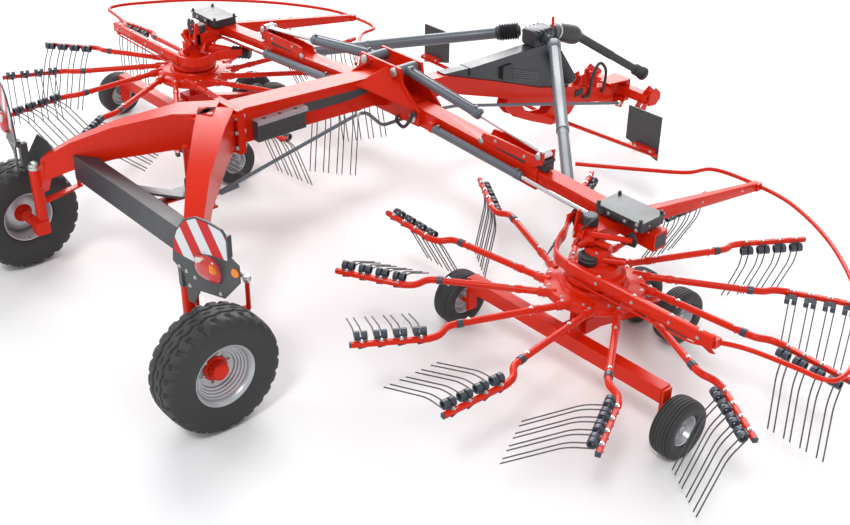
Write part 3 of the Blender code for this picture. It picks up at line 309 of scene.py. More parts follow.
def finish_piece(piece, finish, body, replaced=(), bevel=0.0, smooth_deg=35):
    mesh = piece.data
    bm = bmesh.new()
    bm.from_mesh(mesh)
    bmesh.ops.remove_doubles(bm, verts=bm.verts, dist=1e-6)
    bmesh.ops.recalc_face_normals(bm, faces=bm.faces)
    bm.to_mesh(mesh)
    bm.free()
    mesh.materials.clear()
    mesh.materials.append(FINISHES[finish])
    bpy.context.scene.collection.objects.link(piece)
    if bevel:
        edge = piece.modifiers.new("edge", "BEVEL")
        edge.width = bevel
        edge.segments = 2
        edge.limit_method = "ANGLE"
        edge.angle_limit = math.radians(32)
        edge.harden_normals = True
    mesh.shade_smooth()
    mesh.set_sharp_from_angle(angle=math.radians(smooth_deg))
    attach(piece, body)
    if replaced:
        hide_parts(*replaced)
    return piece


def softened(node_name, finish, body, bevel):
    """A copy of a CAD node whose flat faces are merged and whose edges are rounded."""
    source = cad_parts[node_name]
    mesh = source.data.copy()
    mesh.name = node_name + "_finish"
    bm = bmesh.new()
    bm.from_mesh(mesh)
    bmesh.ops.remove_doubles(bm, verts=bm.verts, dist=1e-5)
    bmesh.ops.dissolve_limit(bm, angle_limit=math.radians(1.0), verts=bm.verts, edges=bm.edges)
    bm.to_mesh(mesh)
    bm.free()
    piece = bpy.data.objects.new(mesh.name, mesh)
    return finish_piece(piece, finish, body, (node_name,), bevel)


# Materials

def linear(hex_colour):
    """An sRGB hex colour as linear red, green, blue and full cover."""
    parts = [int(hex_colour[k:k + 2], 16) / 255 for k in (1, 3, 5)]
    return tuple(c / 12.92 if c <= 0.04045 else ((c + 0.055) / 1.055) ** 2.4 for c in parts) + (1.0,)


def node(tree, kind, settings=None, inputs=None, links=None):
    """Adds a node, sets its properties and input values, and links its inputs from other nodes' outputs."""
    made = tree.nodes.new(kind)
    for key, value in (settings or {}).items():
        setattr(made, key, value)
    for key, value in (inputs or {}).items():
        made.inputs[key].default_value = value
    for key, source in (links or {}).items():
        tree.links.new(source, made.inputs[key])
    return made


def base_material(name, roughness, metallic=0.0, **more):
    """A material with its one shader and output, and the shader's plain values."""
    material = bpy.data.materials.new(name)
    material.use_nodes = True
    tree = material.node_tree
    shader = tree.nodes["Principled BSDF"]
    shader.inputs["Roughness"].default_value = roughness
    shader.inputs["Metallic"].default_value = metallic
    for key, value in more.items():
        shader.inputs[key].default_value = value
    return material, tree, shader


def mottled(name, colour, second, roughness, metallic=0.0, patch=0.25, grain=0.004, bump=0.0002,
            spread=0.08, share=0.5, **more):
    """A finish whose colour drifts between two tones over patches, with fine grain in gloss and relief."""
    material, tree, shader = base_material(name, roughness, metallic, **more)
    place = node(tree, "ShaderNodeTexCoord").outputs["Object"]
    broad = node(tree, "ShaderNodeTexNoise",
                 inputs={"Scale": 1 / patch, "Detail": 4.0, "Roughness": 0.55},
                 links={"Vector": place})
    fine = node(tree, "ShaderNodeTexNoise",
                inputs={"Scale": 1 / grain, "Detail": 2.0},
                links={"Vector": place})
    tone = node(tree, "ShaderNodeMapRange",
                inputs={"From Min": 0.35, "From Max": 0.7, "To Min": 0.0, "To Max": share},
                links={"Value": broad.outputs["Fac"]})
    mix = node(tree, "ShaderNodeMix", {"data_type": "RGBA"}, links={"Factor": tone.outputs["Result"]})
    mix.inputs["A"].default_value = linear(colour) if isinstance(colour, str) else (*colour, 1.0)
    mix.inputs["B"].default_value = linear(second)
    tree.links.new(mix.outputs["Result"], shader.inputs["Base Color"])
    gloss = node(tree, "ShaderNodeMapRange",
                 inputs={"From Min": 0.3, "From Max": 0.7,
                         "To Min": roughness - spread, "To Max": roughness + spread},
                 links={"Value": broad.outputs["Fac"]})
    tree.links.new(gloss.outputs["Result"], shader.inputs["Roughness"])
    relief = node(tree, "ShaderNodeBump",
                  inputs={"Strength": 0.5, "Distance": bump},
                  links={"Height": fine.outputs["Fac"]})
    tree.links.new(relief.outputs["Normal"], shader.inputs["Normal"])
    return material


def striped(name, red, white, tilt):
    """Board film: slanting bands, red where the fraction of (z + tilt x) over the pitch is under a half."""
    material, tree, shader = base_material(name, 0.32, **{"Specular IOR Level": 0.25})
    place = node(tree, "ShaderNodeTexCoord").outputs["Object"]
    parts = node(tree, "ShaderNodeSeparateXYZ", links={"Vector": place})
    lean = node(tree, "ShaderNodeMath", {"operation": "MULTIPLY"}, {1: tilt}, {0: parts.outputs["X"]})
    height = node(tree, "ShaderNodeMath", {"operation": "ADD"}, None,
                  {0: parts.outputs["Z"], 1: lean.outputs[0]})
    pitch = node(tree, "ShaderNodeMath", {"operation": "MULTIPLY_ADD"},
                 {1: 1 / BAND_PITCH, 2: BAND_START}, {0: height.outputs[0]})
    share = node(tree, "ShaderNodeMath", {"operation": "FRACT"}, None, {0: pitch.outputs[0]})
    band = node(tree, "ShaderNodeMath", {"operation": "LESS_THAN"}, {1: 0.5}, {0: share.outputs[0]})
    mix = node(tree, "ShaderNodeMix", {"data_type": "RGBA"}, links={"Factor": band.outputs[0]})
    mix.inputs["A"].default_value = linear(white)
    mix.inputs["B"].default_value = linear(red)
    tree.links.new(mix.outputs["Result"], shader.inputs["Base Color"])
    return material


def make_finishes(colours):
    """Every finish of the rake, each named for what it is."""
    # baked enamel on steel: even, glossy, with a faint orange peel; peel of 3 mm drawn as is
    FINISHES["enamel"] = mottled("red_enamel_on_steel", colours.enamel, "#bd1a06", 0.25, patch=0.6,
                                 grain=0.003, bump=0.00006, spread=0.04, share=0.35,
                                 **{"Specular IOR Level": 0.20})
    # satin powder coat: dull sheen, fine pebble
    FINISHES["grey"] = mottled("grey_powder_coat", colours.grey, "#282b30", 0.36, patch=0.4,
                               grain=0.002, bump=0.0001)
    # moulded guard plastic: dark, waxy
    FINISHES["plastic"] = mottled("black_guard_plastic", "#2a2c2f", "#34373a", 0.5, patch=0.15,
                                  grain=0.002)
    # tyre rubber: matt, slightly dusty in patches
    FINISHES["rubber"] = mottled("tyre_rubber", "#262728", "#343434", 0.60, patch=0.12,
                                 grain=0.0035, bump=0.0006)
    # sprayed wheel silver over steel: soft metallic grain
    FINISHES["silver"] = mottled("wheel_silver_paint", "#b4b7ba", "#9ea1a5", 0.34, 0.55, patch=0.1,
                                 grain=0.0015)
    # hard chrome on a ground rod: a mirror, with its two tones drifting over patches as painted reflection
    # streaks
    FINISHES["chrome"] = mottled("hard_chrome_rod", "#d5d7da", "#c3c6ca", 0.12, 1.0, patch=0.3,
                                 grain=0.002, bump=0.00002, spread=0.04)
    # zinc-plated screws: pale, slightly cloudy
    FINISHES["zinc"] = mottled("zinc_plate", "#c2c4c2", "#a3a6a8", 0.36, 0.9, patch=0.02, grain=0.001)
    # sprung tine wire, drawn and dark
    FINISHES["tine"] = mottled("sprung_tine_steel", "#5a5b5d", "#3c3d40", 0.4, 0.75, patch=0.05,
                               grain=0.001)
    # blued spring steel of the coils, slate with a soft gleam
    FINISHES["coil"] = mottled("blued_coil_steel", "#434852", "#2e323a", 0.34, 0.4, patch=0.03,
                               grain=0.001)
    # painted shaft tubes, blue-grey gloss
    FINISHES["shaft"] = mottled("grey_gloss_paint", "#5d646d", "#525961", 0.34, patch=0.3,
                                grain=0.003, bump=0.00006)
    # printed board film: flat red and white bands with a plain sheen, leaning alike on both boards
    FINISHES["film_right"] = striped("board_film_right", "#c3161b", "#d3d7da", BAND_TILT)
    FINISHES["film_left"] = striped("board_film_left", "#c3161b", "#d3d7da", -BAND_TILT)
    # dark steel plate behind the film, satin
    FINISHES["board_grey"] = mottled("dark_satin_plate", "#3e4042", "#34363a", 0.45, patch=0.3,
                                     grain=0.002)
    # moulded lamp lenses: red under a clear coat, clear and amber, each with the lens's fine ripple
    FINISHES["lamp"] = mottled("red_lamp_lens", "#b70d0d", "#d3200f", 0.12, patch=0.02,
                               grain=0.004, bump=0.0005, **{"Coat Weight": 0.6})
    FINISHES["clear"] = mottled("clear_lamp_lens", "#cfcfcd", "#b9bab8", 0.10, patch=0.02,
                                grain=0.004, bump=0.0004)
    FINISHES["amber"] = mottled("amber_lamp_lens", "#e2780c", "#ef930f", 0.15, patch=0.02,
                                grain=0.004, bump=0.0004)


# Wheels

def tyre_section(points, side_rows, tread_rows, tread_from):
    """Radius and place across the tread of a closed section, its points closer where the radius is large."""
    there = [(r, a, 0.0) for r, a in points]
    back = [(r, -a, 0.0) for r, a in points[-2::-1]]
    half = smooth_path(there + back, 12)[:, :2]
    steps = np.linalg.norm(np.diff(half, axis=0), axis=1)
    weight = np.where(half[1:, 0] > tread_from, tread_rows, side_rows)
    reach = np.concatenate([[0.0], np.cumsum(steps * weight)])
    spread = np.linspace(0, reach[-1], int(reach[-1]))
    return np.stack([np.interp(spread, reach, half[:, k]) for k in (0, 1)], axis=1)


def wheel_grid(section, steps, cut, centre, side):
    """A tyre: centre + (across, r cos t, r sin t), r being the section's radius less the tread's cut."""
    turn = np.linspace(0, 2 * math.pi, steps, endpoint=False)
    depth = cut(section[:, :1], section[:, 1:], turn[None])
    radius = section[:, :1] - np.broadcast_to(depth, (len(section), steps))
    across = np.broadcast_to(section[:, 1:] * side, radius.shape)
    points = np.stack([across, radius * np.cos(turn), radius * np.sin(turn)], axis=2)
    points = points + np.asarray(centre, float)
    return points.reshape(-1, 3), [grid_faces(len(section), steps, wrap_rows=True)]


# half sections of the tyres from bead to crown: radius, place across
BIG_SECTION = ((0.2003, 0.108), (0.222, 0.128), (0.262, 0.140), (0.310, 0.149), (0.352, 0.150),
               (0.386, 0.143), (0.405, 0.131), (0.4145, 0.112), (0.4195, 0.085), (0.4222, 0.045),
               (WHEEL_R, 0.0))
SMALL_SECTION = ((0.108, 0.052), (0.116, 0.070), (0.140, 0.079), (0.165, 0.082), (0.185, 0.078),
                 (0.197, 0.066), (0.203, 0.045), (SMALL_R, 0.020), (SMALL_R, 0.0))
LUGS = 26


def soft_step(low, high, value):
    """0 below low, 1 above high and a smooth cubic between."""
    t = np.clip((value - low) / (high - low), 0, 1)
    return t * t * (3 - 2 * t)


def big_tread(depth):
    """Cut of the big tyres: grooves between shoulder lugs, set half a pitch apart, and two zigzag grooves."""
    def cut(radius, across, turn):
        u = across / WHEEL_HALF_W
        pitch = turn * LUGS / (2 * math.pi) + 0.5 * (u > 0)
        share = pitch % 1.0
        lean = (share + 0.35 * (np.abs(u) - 0.5)) % 1.0
        gap = soft_step(0.0, 0.06, 0.20 - np.abs(lean - 0.30)) * soft_step(0.46, 0.52, np.abs(u))
        fade = soft_step(0.375, 0.402, radius)
        zigzag = 0.30 + 0.10 * (2 * np.abs(share - 0.5) - 0.5)
        line = soft_step(0.0, 0.03, 0.070 - np.abs(np.abs(u) - zigzag))
        middle = soft_step(0.0, 0.025, 0.030 - np.abs(u - 0.05 * np.sin(2 * math.pi * pitch)))
        return depth * np.maximum(np.maximum(gap, line) * fade, 0.8 * middle)
    return cut


def small_tread(depth):
    """Cut of the small tyres: grooves straight round, evenly spaced across the tread."""
    def cut(radius, across, turn):
        u = across / SMALL_HALF_W
        groove = soft_step(0.0, 0.04, 0.055 - np.abs((u * 3.6) % 1.0 - 0.5) / 3.6)
        return depth * groove * soft_step(0.190, 0.196, radius)
    return cut


# nuts of a wheel: how many, the first one's turn in degrees, their circle, where they stand, size, head
BIG_NUTS = (6, 15, 0.105, 0.010, 0.011, 0.014)
SMALL_NUTS = (5, 0, 0.043, 0.020, 0.007, 0.009)


def nut_circle(centre, face, row):
    """Hexagon nuts at even steps round a wheel's axis, on its face to the right or to the left."""
    count, first, circle_r, stand, size, head = row
    nuts = []
    for k in range(count):
        turn = math.radians(360 // count * k + first)
        place = np.array(centre) + (face * stand, circle_r * math.cos(turn), circle_r * math.sin(turn))
        nuts.append(bolt(place, (face, 0, 0), size, head))
    return nuts


def big_wheel(side, sizes):
    """Tread tyre, silver wheel, red hub cup and nuts of one rear wheel."""
    word = side_word(side)
    body = "big_wheel_" + word
    centre = (side * WHEEL_X, 0.0, WHEEL_R)
    axis = (side, 0, 0)
    section = tyre_section(BIG_SECTION, 60, 190, 0.380)
    tyre = wheel_grid(section, LUGS * 9, big_tread(sizes.tread), centre, side)
    make("big_tyre_tread_" + word, tyre, "rubber", body, ("big_tyre_" + word,), smooth_deg=50)
    dish = [(0.046, 0.004), (0.092, 0.004), (0.102, 0.010), (0.122, 0.012), (0.130, 0.016),
            (0.134, 0.028), (0.147, 0.031), (0.151, 0.043), (0.162, 0.046), (0.166, 0.060),
            (0.176, 0.063), (0.179, 0.078), (0.187, 0.082), (0.190, 0.098), (0.197, 0.112),
            (0.208, 0.124), (0.2185, 0.1300), (0.2210, 0.1275), (0.205, 0.114), (0.1999, 0.106),
            (0.1999, -0.098), (0.198, -0.1035), (0.190, -0.100), (0.185, -0.088), (0.172, -0.070),
            (0.168, 0.030), (0.140, 0.002), (0.100, -0.010), (0.046, -0.010)]
    make("big_wheel_disc_" + word, lathe(dish, centre, axis, 72, caps=False), "silver", body,
         ("big_rim_" + word,))
    cup = [(0.004, 0.084), (0.042, 0.084), (0.053, 0.080), (0.060, 0.072), (0.063, 0.058),
           (0.065, 0.018), (0.086, 0.016), (0.086, 0.005), (0.046, -0.044), (0.004, -0.044)]
    make("big_wheel_hub_" + word, lathe(cup, centre, axis, 40), "enamel", body)
    nuts = nut_circle(centre, side, BIG_NUTS)
    make("big_wheel_nuts_" + word, joined(*nuts), "zinc", body)


def small_wheel(name, places, body, node_name, sizes):
    """One small wheel, or two on an axle: ribbed tyres with pressed discs and their nuts."""
    tyres, discs, nuts = [], [], []
    section = tyre_section(SMALL_SECTION, 120, 320, 0.188)
    dish = [(0.002, 0.034), (0.026, 0.034), (0.028, 0.022), (0.050, 0.020), (0.066, 0.010),
            (0.084, 0.012), (0.094, 0.034), (0.101, 0.050), (0.108, 0.054), (0.1082, 0.048),
            (0.100, 0.0), (0.002, 0.0)]
    for x, y in places:
        centre = (x, y, SMALL_R)
        tyres.append(wheel_grid(section, 56, small_tread(sizes.rib), centre, 1))
        for face in (1, -1):
            discs.append(lathe(dish, centre, (face, 0, 0), 40))
            nuts += nut_circle(centre, face, SMALL_NUTS)
    if len(places) == 2:
        first, second = ((x, y, SMALL_R) for x, y in places)
        discs.append(bar(first, second, 0.016))
    make(name + "_tyre", joined(*tyres), "rubber", body, (node_name,), smooth_deg=40)
    make(name + "_disc", joined(*discs), "silver", body)
    make(name + "_nuts", joined(*nuts), "zinc", body)


# Tined rotors

def turned_about(surface, angle_deg):
    """A surface turned about the rotor's axis."""
    points, faces = surface
    c, s = math.cos(math.radians(angle_deg)), math.sin(math.radians(angle_deg))
    return points @ np.array(((c, s, 0), (-s, c, 0), (0, 0, 1))), faces


def arm_frame():
    """Start of an arm's carrier, its direction and the level direction ahead of it."""
    line, tip = np.array(ARM_LINE[-1]), np.array(ARM_TIP)
    start = line + (line - tip) / np.linalg.norm(line - tip) * 0.020
    out = (tip - start) / np.linalg.norm(tip - start)
    ahead = np.array((-out[1], out[0], 0)) / np.linalg.norm(out[:2])
    return start, out, ahead


CARRIER_START, CARRIER_OUT, CARRIER_AHEAD = arm_frame()
CARRIER_TIP = np.array(ARM_TIP)


def pair_runs():
    """How far along the carrier each pair of coils stands."""
    return [FIRST_PAIR + PAIR_STEP * pair for pair in range(TINE_PAIRS)]


def tine_runs():
    """How far along the carrier each coil stands: the two coils of a pair on either side of its middle."""
    return [run + TWIN_HALF * twin for run in pair_runs() for twin in (-1, 1)]


def arm_steel():
    """Socket, tube with its kink, collar and tine carrier of one arm."""
    line = np.array(ARM_LINE)
    first = (line[1] - line[0]) / np.linalg.norm(line[1] - line[0])
    route = bent_path(np.vstack([line, [CARRIER_START + CARRIER_OUT * 0.05]]), 0.06, 5)
    tube = sweep(route, circle(ARM_R, 14))
    socket = lathe([(0.026, -0.030), (SOCKET_R, -0.026), (SOCKET_R, 0.085), (0.029, 0.092)],
                   line[0], first, 18)
    collar = lathe([(0.0245, 0.0), (0.0285, 0.004), (0.0285, 0.040), (0.0245, 0.044)],
                   line[0] + first * 0.20, first, 14)
    ends = [CARRIER_START, CARRIER_START + CARRIER_OUT * 0.004, CARRIER_TIP - CARRIER_OUT * 0.010]
    carrier = sweep(ends, rounded_box(CARRIER, CARRIER, CARRIER_CORNER, 2), scale=[0.92, 1.0, 1.0])
    return joined(tube, socket, collar, carrier)


def coil_centre(run, one):
    """Middle of a coil: out along the carrier, then down the tine's way and back, square to it."""
    return CARRIER_START + CARRIER_OUT * run + one * COIL_DOWN - np.cross(CARRIER_OUT, one) * COIL_BACK


def arm_coils(lift, sizes):
    """Coils of one arm: rings of three wires each, with an open eye, their clamp pads and the end plug."""
    one = tine_ways(lift)[0]
    big, small = sizes.coil_radius, sizes.coil_radius - 0.011
    profile = [(small, -COIL_HALF), (big - 0.001, -COIL_HALF), (big - 0.003, -0.006), (big, 0.000),
               (big - 0.003, 0.006), (big - 0.001, COIL_HALF), (small, COIL_HALF)]
    shapes = [lathe(profile, coil_centre(run, one), CARRIER_OUT, 14, caps=False) for run in tine_runs()]
    beam = np.array(((-0.5, -0.5), (0.5, -0.5), (0.5, 0.5), (-0.5, 0.5)))
    for run in pair_runs():
        middle = CARRIER_START + CARRIER_OUT * run
        to_coil = coil_centre(run, one) - middle
        shapes.append(sweep([middle + to_coil * 0.25, middle + to_coil * 0.80], beam * (0.020, 0.060),
                            up=CARRIER_OUT))
        shapes.append(block(middle - (0, 0, CARRIER / 2 + 0.003), (0.050, 0.030, 0.006)))
    line = np.array(ARM_LINE)
    clamp = [(ARM_R + 0.0005, -0.022), (ARM_R + 0.005, -0.020), (ARM_R + 0.005, 0.020),
             (ARM_R + 0.0005, 0.022)]
    shapes.append(lathe(clamp, line[0] + (line[1] - line[0]) * 0.90, line[1] - line[0], 16))
    plug = [CARRIER_TIP - CARRIER_OUT * 0.010, CARRIER_TIP - CARRIER_OUT * 0.001, CARRIER_TIP]
    shapes.append(sweep(plug, rounded_box(CARRIER, CARRIER, CARRIER_CORNER, 2), scale=[1.0, 1.0, 0.9]))
    return joined(*shapes)


def arm_bolts():
    """Bolt heads on one arm: by its socket, half way out, at the kink and over each pair of coils."""
    line = np.array(ARM_LINE)
    shapes = []
    for share, radius in ((0.06, SOCKET_R), (0.32, ARM_R), (0.83, ARM_R)):
        place = line[0] + (line[1] - line[0]) * share
        shapes.append(bolt(place + (0, 0, radius - 0.001), (0, 0, 1), 0.0085, 0.010))
        shapes.append(bolt(place + (0, 0, 0.001 - radius), (0, 0, -1), 0.0075, 0.012))
    for run in pair_runs():
        place = CARRIER_START + CARRIER_OUT * (run - 0.005)
        shapes.append(bolt(place + (0, 0, CARRIER / 2 - 0.001), (0, 0, 1), 0.011, 0.013))
        shapes.append(bolt(place - (0, 0, CARRIER / 2 - 0.001), (0, 0, -1), 0.009, 0.012))
    return joined(*shapes)


def lift_at(angle):
    """Lift of the tines where the arm points, read off the table in straight lines."""
    return float(np.interp(angle % 360.0, LIFT_ANGLES, LIFT_DEGREES))


def tine_ways(lift):
    """Directions of a tine's two runs, for the lift of the tines in degrees from straight down."""
    down = np.array((0, 0, -1.0))
    angles = (math.radians(lift), math.radians(lift - TINE_BEND_DEG))
    return [-CARRIER_AHEAD * math.sin(angle) + down * math.cos(angle) for angle in angles]


def arm_tines(lift, sizes):
    """Tines of one arm: each off its coil's rim, with a knee, then a longer run bent back."""
    one, two = tine_ways(lift)
    aside = np.cross(CARRIER_OUT, one)
    shapes = []
    for run in tine_runs():
        root = coil_centre(run, one) + CARRIER_OUT * 0.012 + aside * (sizes.coil_radius - sizes.tine_radius)
        knee = root + one * TINE_UPPER
        path = bent_path([root, knee, knee + two * TINE_LOWER], 0.06, 5)
        shapes.append(sweep(path, circle(sizes.tine_radius, 6), up=CARRIER_OUT))
    return joined(*shapes)


def rotor(side, sizes):
    """One rotor: hub ring with twelve sockets and arms, coils, tines and bolts."""
    word = side_word(side)
    body = "rotor_" + word
    steel, coils, tines, bolts = [], [], [], []
    arm, head = arm_steel(), arm_bolts()
    for k in range(ARM_COUNT):
        angle = PHASE[word] + ARM_STEP_DEG * k
        steel.append(turned_about(arm, angle))
        coils.append(turned_about(arm_coils(lift_at(angle), sizes), angle))
        bolts.append(turned_about(head, angle))
        tines.append(turned_about(arm_tines(lift_at(angle), sizes), angle))
        radial = math.radians(angle + ARM_STEP_DEG / 2)
        place = (HUB_BOLT_R * math.cos(radial), HUB_BOLT_R * math.sin(radial), HUB_TOP)
        bolts.append(bolt(place, (0, 0, 1), 0.008, 0.009))
    ring = [(0.0712, 0.724), (0.214, 0.724), (0.220, 0.720), (0.226, 0.706), (0.236, 0.702),
            (0.334, HUB_TOP), (0.342, 0.691), (0.345, 0.684), (0.345, 0.634), (0.337, 0.626),
            (0.290, 0.622), (0.283, 0.612), (0.0712, 0.612)]
    steel.append(lathe(ring, (0, 0, 0), (0, 0, 1), 72, caps=False))

    def placed(surfaces):
        """The pieces moved from the rotor's axis to its place, and mirrored on the left."""
        points, faces = joined(*surfaces)
        return points * (side, 1, 1) + (side * ROTOR_X, ROTOR_Y, 0), faces

    make("rotor_steel_" + word, placed(steel), "enamel", body, ("tine_rotor_" + word,),
         smooth_deg=38)
    make("rotor_coils_" + word, placed(coils), "coil", body, smooth_deg=60)
    make("rotor_tines_" + word, placed(tines), "tine", body, smooth_deg=70)
    make("rotor_bolts_" + word, placed(bolts), "zinc", body)


# Rotor heads, booms and cylinders

TURRET_TUBES = (
    # start, end, radius: ribs and tubes in front of the head block
    ((2.380, 2.250, 1.020), (2.620, 2.300, 1.010), 0.022),
    ((2.500, 2.235, 1.080), (2.690, 2.430, 1.040), 0.020),
    ((2.420, 2.240, 0.960), (2.520, 2.220, 1.060), 0.024),
)


TURRET_RIBS = (
    # place across, height of the top
    (2.352, 1.190),
    (2.430, 1.110),
    (2.500, 1.100),
)


def turret_steel(side):
    """Bell over the hub ring, the cross tubes under the boom and the turret's tubes and ribs."""
    x, y = side * ROTOR_X, ROTOR_Y
    bell = [(0.0695, 0.471), (0.0695, 0.733), (0.200, 0.736), (0.2045, 0.741), (0.2045, 0.778),
            (0.198, 0.788), (0.180, 0.794), (0.168, 0.798), (0.160, 0.812), (0.150, 0.846),
            (0.128, 0.862), (0.100, 0.868), (0.092, 0.900), (0.092, 0.950), (0.080, 0.970),
            (0.020, 0.980)]
    parts = [lathe(bell, (x, y, 0), (0, 0, 1), 72)]
    parts.append(bar((x, y, 0.930), (side * 2.120, 2.560, 0.905), 0.045, 24))
    parts.append(bar((x - side * 0.06, y - 0.115, 0.905), (x + side * 0.19, y + 0.06, 0.905), 0.026, 18))
    elbow = bent_path([(2.33, 2.30, 0.90), (2.36, 2.36, 0.99), (2.36, 2.47, 1.00)], 0.05)
    parts.append(mirrored(sweep(elbow, rounded_box(0.040, 0.055, 0.010)), side))
    for start, end, radius in TURRET_TUBES:
        parts.append(bar((side * start[0], *start[1:]), (side * end[0], *end[1:]), radius, 18))
    for across, top in TURRET_RIBS:
        rib = [(2.300, 0.985), (2.300, 1.085), (2.285, top), (2.262, top), (2.235, 1.060),
               (2.235, 0.990)]
        parts.append(mirrored(slab(rib, across - 0.007, across + 0.007, "side"), side))
    return joined(*parts)


def turret_fittings(side):
    """Dark lever, collar and side plate on the turret."""
    lever = sweep([(2.410, 2.252, 1.075), (2.470, 2.262, 1.150), (2.500, 2.290, 1.190)],
                  rounded_box(0.030, 0.014, 0.004, 2))
    collar = lathe([(0.048, 0.0), (0.056, 0.006), (0.056, 0.060), (0.046, 0.070)],
                   (side * 2.405, 2.330, 1.086), (0, 0, 1), 28)
    plate = slab([(2.600, 1.020), (2.612, 0.988), (2.719, 1.000), (2.736, 1.040), (2.700, 1.100),
                  (2.680, 1.100)], 2.428, 2.440, "front")
    return joined(mirrored(lever, side), collar, mirrored(plate, side))


def grease_cap(side):
    """Stepped black cap and the ribbed sleeve on the cross tube."""
    cap = [(0.060, -0.030), (0.062, 0.0), (0.066, 0.006), (0.066, 0.018), (0.058, 0.024),
           (0.058, 0.034), (0.063, 0.038), (0.063, 0.046), (0.050, 0.056), (0.010, 0.060)]
    # both caps stand at the right rotor, because this place isn't mirrored
    place = (2.500 + side * 0.012, ROTOR_Y - 0.075, 0.878)
    bellows = [(0.050, 0.0)]
    for k in range(6):
        bellows += [(0.060, 0.012 + 0.030 * k), (0.048, 0.027 + 0.030 * k)]
    sleeve = lathe(bellows, (side * 2.180, 2.525, 0.908), (side * -0.31, 0.25, 0.0), 24)
    return joined(lathe(cap, place, (0, 0, 1), 40), sleeve)


def rotor_head(side):
    """The fixed head over a rotor with its fittings, bolts, cap and sleeve."""
    word = side_word(side)
    body = "arm_" + word
    make("rotor_turret_" + word, turret_steel(side), "enamel", body,
         ("rotor_head_" + word,))
    make("turret_fittings_" + word, turret_fittings(side), "plastic", body, bevel=0.0015)
    nuts = [bolt((side * 2.650, 2.427, 1.025), (0, -1, 0), 0.014, 0.016),
            bolt((side * 2.352, 2.234, 1.030), (0, -1, 0), 0.008, 0.008),
            bolt((side * 2.560, 2.240, 0.960), (0, -1, 0), 0.009, 0.010)]
    make("turret_bolts_" + word, joined(*nuts), "zinc", body)
    make("rotor_grease_cap_" + word, grease_cap(side), "plastic", body)


HOOD_LID = 0.016
HOOD_SLITS, SLIT_STEP = 7, 0.042
END_FRAME = {"across": 2.7595, "thick": 0.039, "tall": 0.128, "wall": 0.012}


def hood(side):
    """Dark hood with its lid, the four studs on it, its side bracket and their bolts."""
    word = side_word(side)
    body = "arm_" + word
    low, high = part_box("head_box_" + word)
    low, high = np.array(low) - (0, REAR_AXLE_Y, 0), np.array(high) - (0, REAR_AXLE_Y, 0)
    centre, size = (low + high) / 2, high - low
    xs = np.array((low[0] + 0.006, low[0] + 0.014, high[0] - 0.014, high[0] - 0.006))
    path = np.stack([xs, np.full(4, centre[1]), np.full(4, centre[2] - HOOD_LID / 2)], axis=1)
    outline = rounded_box(size[1] - 0.016, size[2] - HOOD_LID, 0.012, 4)
    shell = [sweep(path, outline, scale=[0.97, 1.0, 1.0, 0.97])]
    for k in range(HOOD_SLITS):
        x = centre[0] + (k - HOOD_SLITS // 2) * SLIT_STEP
        shell.append(block((x, low[1] + 0.0085, low[2] + 0.045), (0.006, 0.009, 0.060)))
    make("hood_body_" + word, joined(*shell), "plastic", body, ("head_box_" + word,))
    corners = [(low[0], low[1]), (high[0], low[1]), (high[0], high[1]), (low[0], high[1])]
    make("hood_lid_" + word, slab(corners, high[2] - HOOD_LID, high[2] - 0.001, "top"), "grey", body,
         bevel=0.004)
    stud = [(0.013, -0.004), (0.013, 0.016), (0.010, 0.020), (0.002, 0.021)]
    dark = []
    for sx, sy in ((-1, 1), (1, 1), (-1, -1), (1, -1)):
        spot = centre + (sx * (size[0] / 2 - 0.022), sy * (size[1] / 2 - 0.018), size[2] / 2)
        dark.append(lathe(stud, spot, (0, 0, 1), 16))
    dark.append(block((centre[0], low[1] - 0.004, centre[2] + 0.012), (0.200, 0.012, 0.030)))
    make("hood_screws_" + word, joined(*dark), "plastic", body)
    zinc = []
    for k in range(2):
        zinc.append(bolt((side * 2.700, low[1], centre[2] + 0.020 - 0.040 * k), (0, -1, 0), 0.010, 0.010))
        zinc.append(bolt((side * 2.741, 2.530, 1.090 + 0.050 * k), (side, 0, 0), 0.004, 0.004))
    for k in range(2):
        place = (centre[0] - 0.070 + 0.140 * k, low[1] - 0.010, centre[2] + 0.012)
        zinc.append(bolt(place, (0, -1, 0), 0.009, 0.010))
    make("hood_bolts_" + word, joined(*zinc), "zinc", body)


def boom_end(side):
    """Red frame round the boom's open end, with a dark plate painted as the shade inside the hollow tube."""
    word = side_word(side)
    across, thick, tall, wall = END_FRAME.values()
    half, z = (tall - wall) / 2, boom_z(2.760)
    ring = [block((side * across, BOOM_Y + end * half, z), (thick, wall, tall)) for end in (-1, 1)]
    ring += [block((side * across, BOOM_Y, z + end * half), (thick, tall - wall, wall)) for end in (1, -1)]
    make("boom_end_frame_" + word, joined(*ring), "enamel", "arm_" + word, bevel=0.0015)
    # dark plate across the open end: painted shade inside the hollow boom
    make("boom_end_inset_" + word, block((side * 2.7805, BOOM_Y, z), (0.003, 0.098, 0.098)), "plastic",
         "arm_" + word)


